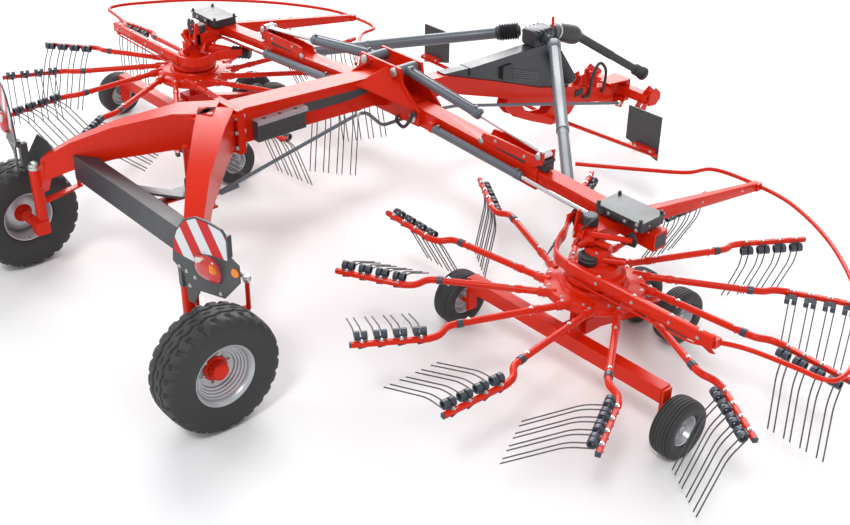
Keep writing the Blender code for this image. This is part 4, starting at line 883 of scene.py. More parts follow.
def lift_cylinder(side):
    """Lift cylinder over the boom: barrel with its foot eye, ports and pipe, and the chrome rod."""
    word = side_word(side)
    start = np.array((side * LIFT_FOOT_X, BOOM_Y, LIFT_FOOT_Z))
    end = np.array((side * LIFT_EYE_X, BOOM_Y, LIFT_EYE_Z))
    length = np.linalg.norm(end - start)
    along = (end - start) / length
    barrel = [(0.030, 0.028), (0.038, 0.032), (0.040, 0.036), (0.040, 0.790), (0.044, 0.794),
              (0.044, 0.846), (0.036, 0.850), (0.030, 0.858), (0.0206, 0.858), (0.0206, 0.30),
              (0.0005, 0.30)]
    eye = [(0.0005, -0.0945), (0.040, -0.0945), (0.045, -0.090), (0.045, 0.090), (0.040, 0.0945),
           (0.0005, 0.0945)]
    shapes = [lathe(barrel, start, along, 40, caps=False), lathe(eye, start, (0, 1, 0), 32, caps=False)]
    for reach in (0.080, 0.815):
        port = start + along * reach
        shapes.append(bar(port, port + (0, -0.010, 0.058), 0.012, 12))
    # pipe from port to port: reach along the barrel, height over its middle
    route = [start + along * reach + (0, -0.012, rise)
             for reach, rise in ((0.090, 0.052), (0.13, 0.054), (0.77, 0.054), (0.805, 0.052))]
    shapes.append(sweep(bent_path(route, 0.02), circle(0.005, 8)))
    make("lift_cylinder_tube_" + word, joined(*shapes), "shaft", "lift_tube_" + word,
         ("lift_barrel_" + word,))
    rod = lathe([(0.0005, 0.775), (0.019, 0.775), (0.020, 0.777), (0.020, length - 0.030)],
                start, along, 32)
    knob = lathe([(0.034, -0.0455), (0.038, -0.042), (0.038, 0.042), (0.034, 0.0455)], end, (0, 1, 0), 32)
    make("lift_cylinder_rod_" + word, joined(rod, knob), "chrome", "lift_stem_" + word,
         ("lift_rod_" + word,))


def width_cylinder(side):
    """Width cylinder beside the boom: chrome rod and barrel with its two ports."""
    word = side_word(side)
    y = BOOM_Y - WIDTH_BEHIND
    foot, face = (np.array((side * x, y, boom_z(x))) for x in (WIDTH_FOOT_X, WIDTH_EYE_X))
    reach = np.linalg.norm(face - foot)
    ram = lathe([(0.0005, 0.0), (0.029, 0.0), (0.032, 0.004), (0.032, reach - 0.070),
                 (0.0355, reach - 0.066), (0.0355, reach - 0.014), (0.028, reach), (0.0167, reach),
                 (0.0167, 0.100), (0.0005, 0.100)], foot, face - foot, 36, caps=False)
    sleeve = lathe([(0.012, 0.0), (0.0165, 0.001), (0.0165, 0.779), (0.012, 0.780)],
                   face, (side, 0, -BOOM_FALL), 28)
    make("width_rod_chrome_" + word, sleeve, "chrome", "arm_" + word)
    lugs = []
    for share in (0.05, 0.955):
        port = foot + (face - foot) * share
        lugs.append(bar(port, port + (0, -0.004, 0.050), 0.011, 12))
    make("width_cylinder_tube_" + word, joined(ram, *lugs), "shaft", "boom_" + word,
         ("width_barrel_" + word,))


def drive_shafts(side):
    """Telescoping drive shaft in its grey guard tubes, with a bell or ribbed bellows by the gearbox."""
    word = side_word(side)
    body = "shaft_" + word
    joint = np.array((side * SHAFT_X, GEARBOX_Y, SHAFT_Z))
    end = np.array((side * SHAFT_END[0], *SHAFT_END[1:]))
    reach = np.linalg.norm(end - joint)
    if side > 0:
        cover = [(0.020, 0.0146), (0.044, 0.018), (0.061, 0.040), (0.062, 0.080), (0.058, 0.120),
                 (0.054, 0.135)]
    else:
        cover = [(0.020, 0.0146), (0.040, 0.018), (0.050, 0.030)]
        for k in range(8):
            cover += [(0.078, 0.044 + 0.022 * k), (0.062, 0.055 + 0.022 * k)]
        cover += [(0.064, 0.226), (0.052, 0.240)]
    closing = [(0.020, cover[-1][1] + 0.001)]
    make("drive_shaft_cover_" + word, lathe(cover + closing, joint, end - joint, 40),
         "shaft" if side > 0 else "plastic", body)
    tube = [(0.020, 0.100), (0.050, 0.102), (0.050, reach * 0.60), (0.0525, reach * 0.602),
            (0.0525, reach * 0.616), (0.045, reach * 0.62), (0.045, reach - 0.150),
            (0.0505, reach - 0.146), (0.0505, reach - 0.02), (0.044, reach)]
    make("drive_shaft_tubes_" + word, lathe(tube, joint, end - joint, 40), "shaft", body,
         ("drive_shaft_" + word,))


# Gearbox and its shaft

def gearbox():
    """Ribbed casting with flanged outputs and its red shift lever."""
    base, y = GEARBOX_FOOT_Z, GEARBOX_Y
    path = [(0, y + reach, base + 0.075) for reach in (-0.118, -0.105, 0.105, 0.118)]
    parts = [sweep(path, rounded_box(0.176, 0.148, 0.030, 4), scale=[0.9, 1.0, 1.0, 0.9])]
    for k in range(4):
        parts.append(block((0, y - 0.075 + 0.05 * k, base + 0.077), (0.180, 0.008, 0.142)))
    flange = [(0.030, 0.085), (0.056, 0.088), (0.060, 0.094), (0.060, 0.108), (0.048, 0.114),
              (0.044, 0.148), (0.012, 0.150)]
    for side in (1, -1):
        parts.append(lathe(flange, (0, y, SHAFT_Z), (side, 0, 0), 32))
        parts.append(bar((side * 0.14, y, SHAFT_Z), (side * SHAFT_X, y, SHAFT_Z), 0.011, 12))
        for k in range(4):
            turn = math.radians(90 * k + 45)
            place = (side * 0.108, y + 0.052 * math.cos(turn), SHAFT_Z + 0.052 * math.sin(turn))
            parts.append(bolt(place, (side, 0, 0), 0.006, 0.008))
    parts.append(lathe([(0.058, 0.100), (0.062, 0.106), (0.062, 0.130), (0.050, 0.140), (0.050, 0.178)],
                       (0, y, base + 0.065), (0, 1, 0), 32))
    make("gearbox_casting", joined(*parts), "grey", "chassis", ("gearbox",))
    lever = sweep([(0.060, 4.420, base + 0.080), (0.055, 4.420, base + 0.225), (0.055, 4.420, base + 0.230)],
                  rounded_box(0.036, 0.012, 0.004, 2), up=(1, 0, 0), scale=[1.0, 0.9, 0.5])
    make("gearbox_lever", lever, "enamel", "chassis")


BELLOWS_WAY = (0.0, 0.59, -0.80)


def support_fittings():
    """Box, side panel with its slats and the hanging bellows on the gearbox's support."""
    dark = [block((0.066, 3.860, 1.065), (0.034, 0.110, 0.120)),
            slab([(3.952, 1.074), (4.285, 0.963), (4.294, 0.856), (3.933, 0.986)], 0.0495, 0.052, "side"),
            lathe(ribs(0.0, 0.365, 12, 0.048, 0.058), (0.100, 4.442, 1.095), BELLOWS_WAY, 28)]
    make("support_fittings", joined(*dark), "plastic", "chassis", bevel=0.001)
    slats = []
    for k in range(5):
        drop = 0.012 + 0.019 * k
        slats.append(sweep([(0.0535, 3.955, 1.060 - drop), (0.0535, 4.270, 0.957 - drop)], circle(0.0035, 6)))
    slats.append(lathe([(0.056, 0.0), (0.061, 0.002), (0.061, 0.010), (0.056, 0.012)],
                       (0.100, 4.648, 0.815), BELLOWS_WAY, 28))
    make("support_slats", joined(*slats), "shaft", "chassis")


def ribs(first, last, count, low, high):
    """Profile of a ribbed bellows: radius high and low by turns at even steps from first to last."""
    step = (last - first) / count
    profile = []
    for k in range(count):
        profile += [(low, first + step * k), (high, first + step * (k + 0.35)),
                    (high, first + step * (k + 0.65))]
    return profile + [(low, last)]


def input_shaft():
    """Black cone on the gearbox's input, and the guard tubes down to the hitch with their ribbed end."""
    face = np.array((0, GEARBOX_Y + 0.1803, SHAFT_Z))
    start = face + (0, 0.030, 0)
    knee = np.array((0, 4.820, 1.150))
    end = np.array((0.250, 5.540, 0.670))
    drop, away = knee - start, end - knee
    length, reach = np.linalg.norm(drop), np.linalg.norm(away)
    collar = [(0.040, 0.0), (0.064, 0.002), (0.064, 0.036), (0.050, 0.040)]
    make("input_collar", lathe(collar, face, (0, 1, 0), 36), "shaft", "chassis")
    band = [(0.060, 0.010), (0.076, 0.012), (0.078, 0.026), (0.060, 0.028)]
    make("input_band", lathe(band, start, drop, 36), "zinc", "chassis")
    cone = [(0.050, 0.020), (0.070, 0.024), (0.075, 0.040), (0.080, 0.090), (0.084, 0.150),
            (0.086, length - 0.130), (0.088, length - 0.090), (0.084, length - 0.050),
            (0.070, length - 0.018), (0.044, length + 0.004)]
    tubes = [(0.020, -0.045), (0.050, -0.040), (0.050, 0.010), (0.042, 0.030), (0.040, 0.072),
             (0.040, reach * 0.5), (0.0365, reach * 0.505), (0.036, reach - 0.140)]
    tubes += ribs(reach - 0.135, reach - 0.050, 5, 0.048, 0.055)
    tubes += [(0.062, reach - 0.045), (0.064, reach - 0.012), (0.052, reach)]
    parts = [lathe(cone, start, drop, 48), lathe(tubes, knee, away, 36)]
    make("input_shaft_guard", joined(*parts), "plastic", "chassis", ("pto_shaft",))


# Guards and boards

# hoop tube round the right rotor: from the bar's end round the outside and the front to the inner side
HOOP_ROUTE = ((3.600, 2.150, GUARD_Z - 0.010), (3.760, 2.290, HOOP_Z), (4.050, 2.345, HOOP_Z),
              (4.225, 2.370, HOOP_Z), (4.288, 2.460, HOOP_Z), (4.230, 2.700, HOOP_Z),
              (3.920, 3.260, HOOP_Z), (3.400, 3.780, HOOP_Z), (2.870, 4.100, HOOP_Z),
              (2.475, 4.180, HOOP_Z), (2.100, 4.150, HOOP_Z), (2.000, 3.920, 0.810),
              (1.760, 3.680, 0.820), (1.370, 3.340, 0.830))
# curved band from the bar back to the cross tube under the boom
BAND_ROUTE = ((2.520, 2.115, GUARD_Z), (2.400, 2.118, GUARD_Z), (2.270, 2.165, 0.856),
              (2.200, 2.265, 0.882), (2.175, 2.350, 0.908), (2.125, 2.425, 0.920), (2.070, 2.500, 0.921))
BRACE_ROUTE = ((2.560, 2.080, 0.800), (2.640, 2.076, 0.792), (3.480, 2.080, 0.800), (3.560, 2.095, 0.815))
GUARD_BAR_Y = 2.115


def guards(side):
    """Hoop tube round the rotor, its carrier bar and front arm, with clamps, a brace and the curved band."""
    word = side_word(side)
    body = "arm_" + word
    parts = [sweep(smooth_path(HOOP_ROUTE, 10), circle(HOOP_R, 14))]
    carrier = [(x, GUARD_BAR_Y, GUARD_Z) for x in (2.440, 2.444, 3.616, 3.620)]
    parts.append(sweep(carrier, rounded_box(0.050, 0.085, 0.007), scale=[0.96, 1, 1, 0.96]))
    parts.append(sweep(smooth_path(BAND_ROUTE, 6), rounded_box(0.024, 0.085, 0.005, 2)))
    parts.append(block((2.0735, 2.525, 0.930), (0.026, 0.078, 0.060)))
    front_arm = [(2.460, 2.696, 1.020), (2.462, 2.78, 1.006), (2.475, 4.150, HOOP_Z)]
    parts.append(sweep(front_arm, rounded_box(0.080, 0.110, 0.008), scale=[1.0, 1.0, 0.6]))
    for place in ((2.475, 4.165, HOOP_Z), (3.600, 2.150, 0.838)):
        parts.append(block(place, (0.070, 0.060, 0.058)))
    lug = [(3.470, GUARD_Z - 0.030), (3.560, GUARD_Z - 0.030), (3.640, GUARD_Z - 0.075),
           (3.600, GUARD_Z - 0.085), (3.500, GUARD_Z - 0.050)]
    parts.append(slab(lug, 2.120, 2.130, "front"))
    make("rotor_guard_" + word, mirrored(joined(*parts), side), "enamel", body,
         ("guard_" + word,), bevel=0.0015)
    brace = sweep(bent_path(BRACE_ROUTE, 0.05), circle(0.007, 8))
    make("guard_brace_" + word, mirrored(brace, side), "enamel", body)
    heads = [lathe(ribs(0.0, 0.110, 9, 0.010, 0.015), (3.590, 2.176, 0.765), (-0.50, 0.0, 0.55), 12)]
    for x in (2.700, 3.000, 3.300, 3.520):
        heads.append(bolt((x, GUARD_BAR_Y, GUARD_Z + 0.0425), (0, 0, 1), 0.008, 0.009))
        heads.append(bolt((x, GUARD_BAR_Y - 0.025, GUARD_Z), (0, -1, 0), 0.008, 0.009))
    for run in (0.0, 0.5, 1.0):
        place = (2.505 - 0.008 * run, 2.95 + run, 0.985 - 0.150 * run)
        heads.append(bolt(place, (1, 0, 0), 0.007, 0.009))
    make("guard_bolts_" + word, mirrored(joined(*heads), side), "zinc", body)


def front_guard():
    """Cross tube under the drawbar with a dark pressed panel, its holder and bolts at each end."""
    route = [(-1.470, 4.235, 0.660), (-0.120, 4.530, 0.440), (0.120, 4.530, 0.440), (1.470, 4.235, 0.660)]
    steel = [sweep(bent_path(route, 0.05), circle(0.018, 14))]
    panels, bolts = [], []
    for side in (1, -1):
        steel.append(block((side * 1.330, 4.250, 0.684), (0.220, 0.056, 0.026)))
        corners = ((1.110, 0.690), (1.458, 0.600), (1.458, 0.990), (1.110, 0.990))
        panels.append(slab([(side * x, z) for x, z in corners], 4.262, 4.274, "front"))
        for x in (1.250, 1.410):
            bolts.append(bolt((side * x, 4.222, 0.684), (0, -1, 0), 0.009, 0.009))
    make("front_guard_tube", joined(*steel), "enamel", "chassis", ("front_guard",),
         bevel=0.0015)
    make("front_guard_panels", joined(*panels), "board_grey", "chassis", bevel=0.002)
    make("front_guard_bolts", joined(*bolts), "zinc", "chassis")


# warning boards, drawn as seen from behind: out from BOARD_PLACE, height
BOARD_TURN_DEG = 13.6
BOARD_PLACE = (1.150, -0.050)
BOARD_PLATE = ((0.050, 0.860), (0.100, 0.860), (0.160, 0.975), (0.370, 0.995), (0.505, 1.150), (0.505, 1.270),
               (0.432, 1.310), (0.432, 1.430), (0.385, 1.480), (0.270, 1.499), (0.170, 1.499), (0.070, 1.450),
               (0.000, 1.360), (-0.040, 1.265), (-0.058, 1.120), (0.035, 1.055))
BOARD_FILM = ((-0.034, 1.200), (0.017, 1.190), (0.140, 1.176), (0.175, 1.250), (0.280, 1.272), (0.418, 1.280),
              (0.420, 1.425), (0.378, 1.470), (0.266, 1.488), (0.172, 1.488), (0.076, 1.440), (0.006, 1.352),
              (-0.028, 1.270))
LAMP_SHAPE = ((0.172, 1.246), (0.270, 1.262), (0.336, 1.236), (0.362, 1.175), (0.352, 1.108), (0.296, 1.096),
              (0.206, 1.108), (0.160, 1.150), (0.156, 1.205))


def on_board(surface, side):
    """A surface drawn as if the board faced straight back: out and height, turned and moved to its place."""
    points, faces = surface
    turn = math.radians(BOARD_TURN_DEG)
    c, s = math.cos(turn), math.sin(turn)
    out, deep, high = points.T
    across = side * (BOARD_PLACE[0] + out * c - deep * s)
    along = BOARD_PLACE[1] + out * s + deep * c
    return np.stack([across, along, high], axis=1), faces


def shrunk(outline, share):
    """An outline drawn in towards its middle: middle + share * (point - middle)."""
    outline = np.asarray(outline, float)
    middle = outline.mean(axis=0)
    return middle + share * (outline - middle)


def domed(outline, back, depth):
    """A lens over an outline: rings whose size falls as cos t while their height grows as depth * sin t."""
    corners = np.insert(np.asarray(outline, float), 2, 0.0, axis=1)
    rounded = smooth_path(np.vstack([corners, corners[:1]]), 4)[:-1, :2]
    count = len(rounded)
    rings = []
    for t in np.radians((0, 0, 25, 50, 72, 88)):
        spots = shrunk(rounded, 0.25 + 0.75 * math.cos(t))
        level = np.full(count, back - depth * math.sin(t))
        rings.append(np.stack([spots[:, 0], level, spots[:, 1]], axis=1))
    rings[0] = rings[0] + (0, 0.012, 0)
    last = (len(rings) - 1) * count
    return np.concatenate(rings), [grid_faces(len(rings), count), np.arange(count)[None, ::-1],
                                   np.arange(last, last + count)[None]]


INNER_BRACKET = ((-0.190, 0.865), (-0.016, 0.873), (0.201, 0.828), (0.286, 0.920), (0.233, 0.987),
                 (0.114, 1.109), (0.008, 1.137))


def inner_bracket():
    """Dark bracket plate in front of the left board, turned like the boards."""
    points, faces = slab(INNER_BRACKET, -0.005, 0.005, "front")
    turn = math.radians(BOARD_TURN_DEG)
    c, s = math.cos(turn), math.sin(turn)
    across, deep, high = points.T
    placed = np.stack([across * c - deep * s - 1.150, 0.120 + across * s + deep * c, high], axis=1)
    make("inner_bracket", (placed, faces), "board_grey", "chassis", bevel=0.002)


# bolts on the board's plate: out, height
BOARD_BOLTS = ((0.000, 1.100), (0.060, 1.083), (0.130, 1.062), (0.078, 0.985), (0.340, 1.020))
TURN_LENS = ((0.300, 1.238), (0.340, 1.216), (0.348, 1.176), (0.300, 1.176))
CLEAR_LENS = ((0.178, 1.240), (0.240, 1.250), (0.236, 1.216), (0.184, 1.200))


def warning_boards(side):
    """Dark plate with its striped film, edge, lamp, round marker and bolts."""
    word = side_word(side)

    def piece(name, surface, finish, slot, replaced=(), bevel=0.0):
        """One piece of the board, turned and moved to its place with it."""
        make(name + "_" + word, on_board(surface, side), finish, "chassis", replaced, bevel)

    plate = [slab(BOARD_PLATE, -0.006, 0.006, "front"),
             block((0.434, 0.0, 1.380), (0.014, 0.036, 0.150)),
             block((0.000, 0.019, 1.105), (0.060, 0.030, 0.050))]
    piece("board_plate", joined(*plate), "board_grey", "grey_paint", ("warning_board_" + word,), 0.0015)
    film = slab(BOARD_FILM, -0.0085, -0.0055, "front")
    piece("board_film", film, "film_" + word, "board_white", (), 0.0006)
    piece("lamp_shell", domed(shrunk(LAMP_SHAPE, 1.10), -0.004, 0.020), "plastic", "grey_paint")
    piece("lamp_tail", domed(LAMP_SHAPE, -0.016, 0.044), "lamp", "red_paint")
    piece("lamp_turn", domed(TURN_LENS, -0.040, 0.020), "amber", "red_paint")
    piece("lamp_clear", domed(CLEAR_LENS, -0.040, 0.014), "clear", "red_paint")
    marker = lathe([(0.002, 0.0105), (0.026, 0.010), (0.030, 0.006), (0.030, 0.0)],
                   (0.475, -0.006, 1.215), (0, -1, 0), 28)
    piece("board_marker", marker, "amber", "red_paint")
    bolts = [bolt((out, -0.006, high), (0, -1, 0), 0.009, 0.009) for out, high in BOARD_BOLTS]
    piece("board_bolts", joined(*bolts), "zinc", "chrome_steel")


def kingpin_top(side):
    """The board's bracket on the kingpin's tube, and the kingpin's cap with its ring."""
    word = side_word(side)
    foot = block((side * 1.118, -0.012, 1.0225), (0.040, 0.060, 0.184))
    make("board_bracket_" + word, foot, "board_grey", "chassis", bevel=0.003)
    cap = lathe([(0.002, 0.028), (0.030, 0.026), (0.040, 0.018), (0.044, 0.004), (0.044, -0.012)],
                (side * KINGPIN_X, KINGPIN_Y, 0.9300), (0, 0, 1), 32)
    ring = lathe([(0.0455, 0.905), (0.050, 0.907), (0.050, 0.927), (0.0455, 0.929)],
                 (side * KINGPIN_X, KINGPIN_Y, 0.0), (0, 0, 1), 32)
    make("kingpin_cap_" + word, joined(cap, ring), "zinc", "chassis")


# Steering and fittings

# dark band along both sides of the main beam: place along, height
BEAM_BAND = ((1.680, 1.290), (2.100, 1.277), (2.330, 1.300), (2.270, 1.345), (1.680, 1.368))
BEAM_SIDE_X = 0.0995
BOX_X = 0.136


def beam_box():
    """Dark bands on the main beam and the dark box beside it, with its pale strip and three ridges on its
    side.
    """
    dark = [block((BOX_X, 1.435, 1.285), (0.066, 0.430, 0.155)),
            slab(BEAM_BAND, BEAM_SIDE_X, BEAM_SIDE_X + 0.0035, "side"),
            slab(BEAM_BAND, -BEAM_SIDE_X - 0.0035, -BEAM_SIDE_X, "side")]
    dark += [block((0.171, 1.435, 1.330 - 0.045 * k), (0.006, 0.400, 0.010)) for k in range(3)]
    make("beam_box", joined(*dark), "board_grey", "chassis", bevel=0.002)
    strip = [block((BOX_X, 1.445, 1.3665), (0.074, 0.450, 0.006)),
             block((0.172, 1.445, 1.352), (0.004, 0.450, 0.028))]
    make("beam_box_strip", joined(*strip), "silver", "chassis")


def steering_post():
    """The post that the centre lever turns on, its dark foot, flat dark discs painted as the shade in three
    holes of the beam box's strip, and the red cover over the fork's opening.
    """
    # flat dark discs on the beam box's strip: painted shade standing for three holes into the box
    hole = [(0.002, 0.0), (0.015, 0.0), (0.015, 0.0015), (0.002, 0.0015)]
    holes = [lathe(hole, (BOX_X, 1.300 + 0.140 * k, 1.3692), (0, 0, 1), 16) for k in range(3)]
    foot = lathe([(0.034, 0.931), (0.038, 0.936), (0.038, 1.010), (0.029, 1.016)],
                 (0.0, POST_Y, 0.0), (0, 0, 1), 28)
    make("beam_dark_foot_and_hole_shades", joined(foot, *holes), "plastic", "chassis")
    column = lathe([(0.0275, 0.960), (0.0275, 1.250), (0.031, 1.256), (0.031, 1.276), (0.020, 1.284)],
                   (0.0, POST_Y, 0.0), (0, 0, 1), 28)
    cover = slab([(-0.150, 1.064), (0.150, 1.064), (0.125, 0.850), (0.060, 0.790), (-0.060, 0.790),
                  (-0.125, 0.850)], 1.440, 1.466, "top")
    make("steering_column", joined(column, cover), "enamel", "chassis", bevel=0.002)


# fixed hoses, each held at both ends: one at the saddle, and the outer one of two over the drawbar
SADDLE_HOSE = ((0.225, 2.492, 1.090), (0.237, 2.478, 1.051), (0.322, 2.472, 1.029),
               (0.393, 2.472, 1.100), (0.430, 2.476, 1.178), (0.452, 2.488, 1.160))
HITCH_HOSE = ((0.078, 4.880, 0.560), (0.085, 4.953, 0.568), (0.095, 4.963, 0.715),
              (0.100, 5.004, 0.823), (0.100, 5.069, 0.855), (0.098, 5.151, 0.766),
              (0.090, 5.157, 0.615), (0.076, 5.140, 0.540))
# lifting lugs on the drawbar, seen from the side: place along, height
LUG_BEHIND = ((4.850, 0.650), (4.872, 0.760), (4.930, 0.772), (4.970, 0.640))
LUG_AHEAD = ((5.000, 0.620), (5.030, 0.765), (5.078, 0.765), (5.110, 0.590))


def drawbar_fittings():
    """Hoses at the saddle and over the drawbar, and the drawbar's two pairs of lugs with their pins."""
    hose = sweep(smooth_path(SADDLE_HOSE, 8), circle(0.014, 12))
    make("saddle_hose", hose, "rubber", "chassis")
    loop = smooth_path(HITCH_HOSE, 6)
    hoses = [sweep(loop, circle(0.014, 12)),
             sweep(loop * (0.72, 1, 1) + (0, 0.030, -0.020), circle(0.011, 10)),
             block((0.0740, 4.825, 0.620), (0.010, 0.100, 0.060))]
    make("hitch_hoses", joined(*hoses), "rubber", "chassis")
    lugs = [slab(lug, x, x + 0.012, "side") for lug in (LUG_BEHIND, LUG_AHEAD) for x in (-0.046, 0.034)]
    lugs += [bar((-0.060, y, 0.735), (0.060, y, 0.735), 0.015, 14) for y in (4.905, 5.052)]
    make("drawbar_bracket", joined(*lugs), "enamel", "chassis", bevel=0.003)


# steering rod from the hitch back along the drawbar, under the boom and up over it to the centre lever
ROD_ROUTE = ((0.200, 5.280, 0.432), (0.200, 3.150, 0.985), (0.200, 2.780, 1.030), (0.200, 2.360, 1.030),
             (0.230, 2.180, 1.200), (0.240, 2.090, 1.220), (0.290, 0.730, ROD_FOOT_Z))
ROD_BALLS = ((0.290, 0.725, ROD_FOOT_Z), (0.2005, 5.262, 0.437), (0.2400, 2.085, 1.2195))


def steering_rod():
    """Steering rod with the joint on the centre lever, its collar and ball joints."""
    joint = lathe([(0.016, 0.0), (0.022, 0.006), (0.022, 0.050), (0.016, 0.058), (0.012, 0.086)],
                  (0.290, POST_Y, 0.9143), (0, 0, 1), 24)
    collar = bar((0.286, 0.80, 0.9852), (0.278, 0.95, 0.9893), 0.018, 16)
    tube = sweep(bent_path(ROD_ROUTE, 0.05), circle(0.014, 16))
    make("steering_rod_tube", joined(tube, joint, collar), "shaft", "steer_link",
         ("steering_rod",))
    ball = [(0.004, -0.024), (0.016, -0.020), (0.024, -0.008), (0.024, 0.008), (0.016, 0.020),
            (0.004, 0.024)]
    balls = [lathe(ball, place, (0, 0, 1), 20) for place in ROD_BALLS]
    make("steering_balls", joined(*balls), "zinc", "steer_link")


def track_rod(side):
    """Track rod from the centre lever out to the kingpin's arm, with its joints and outer ball."""
    word = side_word(side)
    body = "track_" + word
    route = [(side * 0.030, TRACK_Y, TRACK_Z), (side * 0.20, TRACK_Y, TRACK_Z), (side * 1.170, 0.410, 0.820)]
    joint = [(0.012, -0.020), (0.020, -0.014), (0.020, 0.010), (0.012, 0.0125)]
    ends = [lathe(joint, place, (0, 0, 1), 20)
            for place in ((side * 0.035, TRACK_Y, TRACK_Z), (side * 1.166, 0.4105, 0.820))]
    tube = sweep(bent_path(route, 0.05), circle(0.013, 14))
    make("track_rod_tube_" + word, joined(tube, *ends), "shaft", body, ("track_rod_" + word,))
    ball = lathe([(0.004, -0.008), (0.026, -0.006), (0.031, 0.006), (0.031, 0.022), (0.022, 0.036),
                  (0.004, 0.040)], (side * 1.168, 0.4102, 0.820), (0, 0, 1), 24)
    make("track_ball_" + word, ball, "zinc", body)


# pins through the inner boom's lugs and bolts on its rear face: place across, height
BOOM_PINS = ((1.120, 1.170), (LIFT_EYE_X, LIFT_EYE_Z))
BOOM_BOLTS = ((1.261, 1.215), (1.558, 1.200))


def flange_bolts():
    """Bolt heads on the flange between beam and fork, and the caps of the saddle's pins."""
    lift_cap = [(0.034, 0.0), (0.040, 0.003), (0.040, 0.016), (0.028, 0.024), (0.004, 0.026)]
    hinge_cap = [(0.030, 0.0), (0.036, 0.003), (0.036, 0.014), (0.024, 0.020), (0.004, 0.022)]
    shapes = []
    for side in (-1, 1):
        for row in range(3):
            z = 1.200 + 0.115 * row
            shapes.append(bolt((side * 0.125, 1.064, z), (0, -1, 0), 0.017, 0.015))
            shapes.append(bolt((side * 0.125, 1.1265, z), (0, 1, 0), 0.017, 0.015))
        shapes.append(lathe(lift_cap, (side * LIFT_FOOT_X, SADDLE_FACE_Y, LIFT_FOOT_Z), (0, -1, 0), 28))
        shapes.append(lathe(hinge_cap, (side * HINGE_X, SADDLE_FACE_Y, HINGE_Z), (0, -1, 0), 28))
    make("flange_bolts", joined(*shapes), "zinc", "chassis")


def boom_pins(side):
    """Pin caps and bolts on the inner boom's lugs, its rear strip and the stop under the cylinder's eye."""
    word = side_word(side)
    body = "boom_" + word
    cap = [(0.022, 0.0), (0.026, 0.002), (0.026, 0.012), (0.018, 0.018), (0.003, 0.019)]
    caps = []
    for x, z in BOOM_PINS:
        for face in (-1, 1):
            caps.append(lathe(cap, (side * x, BOOM_Y + face * 0.062, z), (0, face, 0), 24))
    for x, z in BOOM_BOLTS:
        caps.append(bolt((side * x, BOOM_Y - 0.062, z), (0, -1, 0), 0.009, 0.010))
    make("boom_pins_" + word, joined(*caps), "zinc", body)
    dark = [block((side * 1.420, BOOM_Y - 0.0635, 1.158), (0.300, 0.003, 0.022)),
            block((side * 1.715, BOOM_Y, 1.170), (0.080, 0.085, 0.060)),
            bar((side * 1.735, BOOM_Y - 0.060, 1.205), (side * 1.735, BOOM_Y + 0.060, 1.205), 0.016, 16)]
    make("boom_stop_" + word, joined(*dark), "plastic", body, bevel=0.0015)


SOFT_NODES = (
    # node, finish, body, rounding of its edges
    ("rear_fork", "enamel", "chassis", 0.006),
    ("cross_beam", "grey", "chassis", 0.004),
    ("main_beam", "enamel", "chassis", 0.005),
    ("drawbar", "enamel", "chassis", 0.005),
    ("gearbox_support", "grey", "chassis", 0.004),
    ("hitch_yoke", "enamel", "yoke", 0.003),
    ("stand_leg", "enamel", "stand", 0.003),
    ("centre_lever", "enamel", "lever", 0.003),
)
SOFT_PAIRS = (
    ("knuckle", "enamel", "knuckle", 0.003),
    ("inner_boom", "enamel", "boom", 0.005),
    ("outer_boom", "enamel", "arm", 0.004),
    ("undercarriage", "enamel", "arm", 0.004),
)


# Stage

def sun(name, direction, strength, angle_deg):
    """A distant lamp that shines along a direction, with soft edges to its shadows."""
    lamp = bpy.data.lights.new(name, "SUN")
    lamp.energy = strength
    lamp.angle = math.radians(angle_deg)
    made = bpy.data.objects.new(name, lamp)
    made.rotation_euler = Vector(direction).to_track_quat("-Z", "Y").to_euler()
    bpy.context.scene.collection.objects.link(made)


def white_to_camera(tree, ground, strength):
    """Mixes a white glow over the sky wherever the camera, a mirror or a pane looks straight at it."""
    path = node(tree, "ShaderNodeLightPath")
    first = node(tree, "ShaderNodeMath", {"operation": "MAXIMUM"}, None,
                 {0: path.outputs["Is Camera Ray"], 1: path.outputs["Is Glossy Ray"]})
    seen = node(tree, "ShaderNodeMath", {"operation": "MAXIMUM"}, None,
                {0: first.outputs[0], 1: path.outputs["Is Transmission Ray"]})
    glow = node(tree, "ShaderNodeBackground", None, {"Color": (1, 1, 1, 1), "Strength": strength})
    return node(tree, "ShaderNodeMixShader", None, None, {0: seen.outputs[0], 1: ground, 2: glow.outputs[0]})


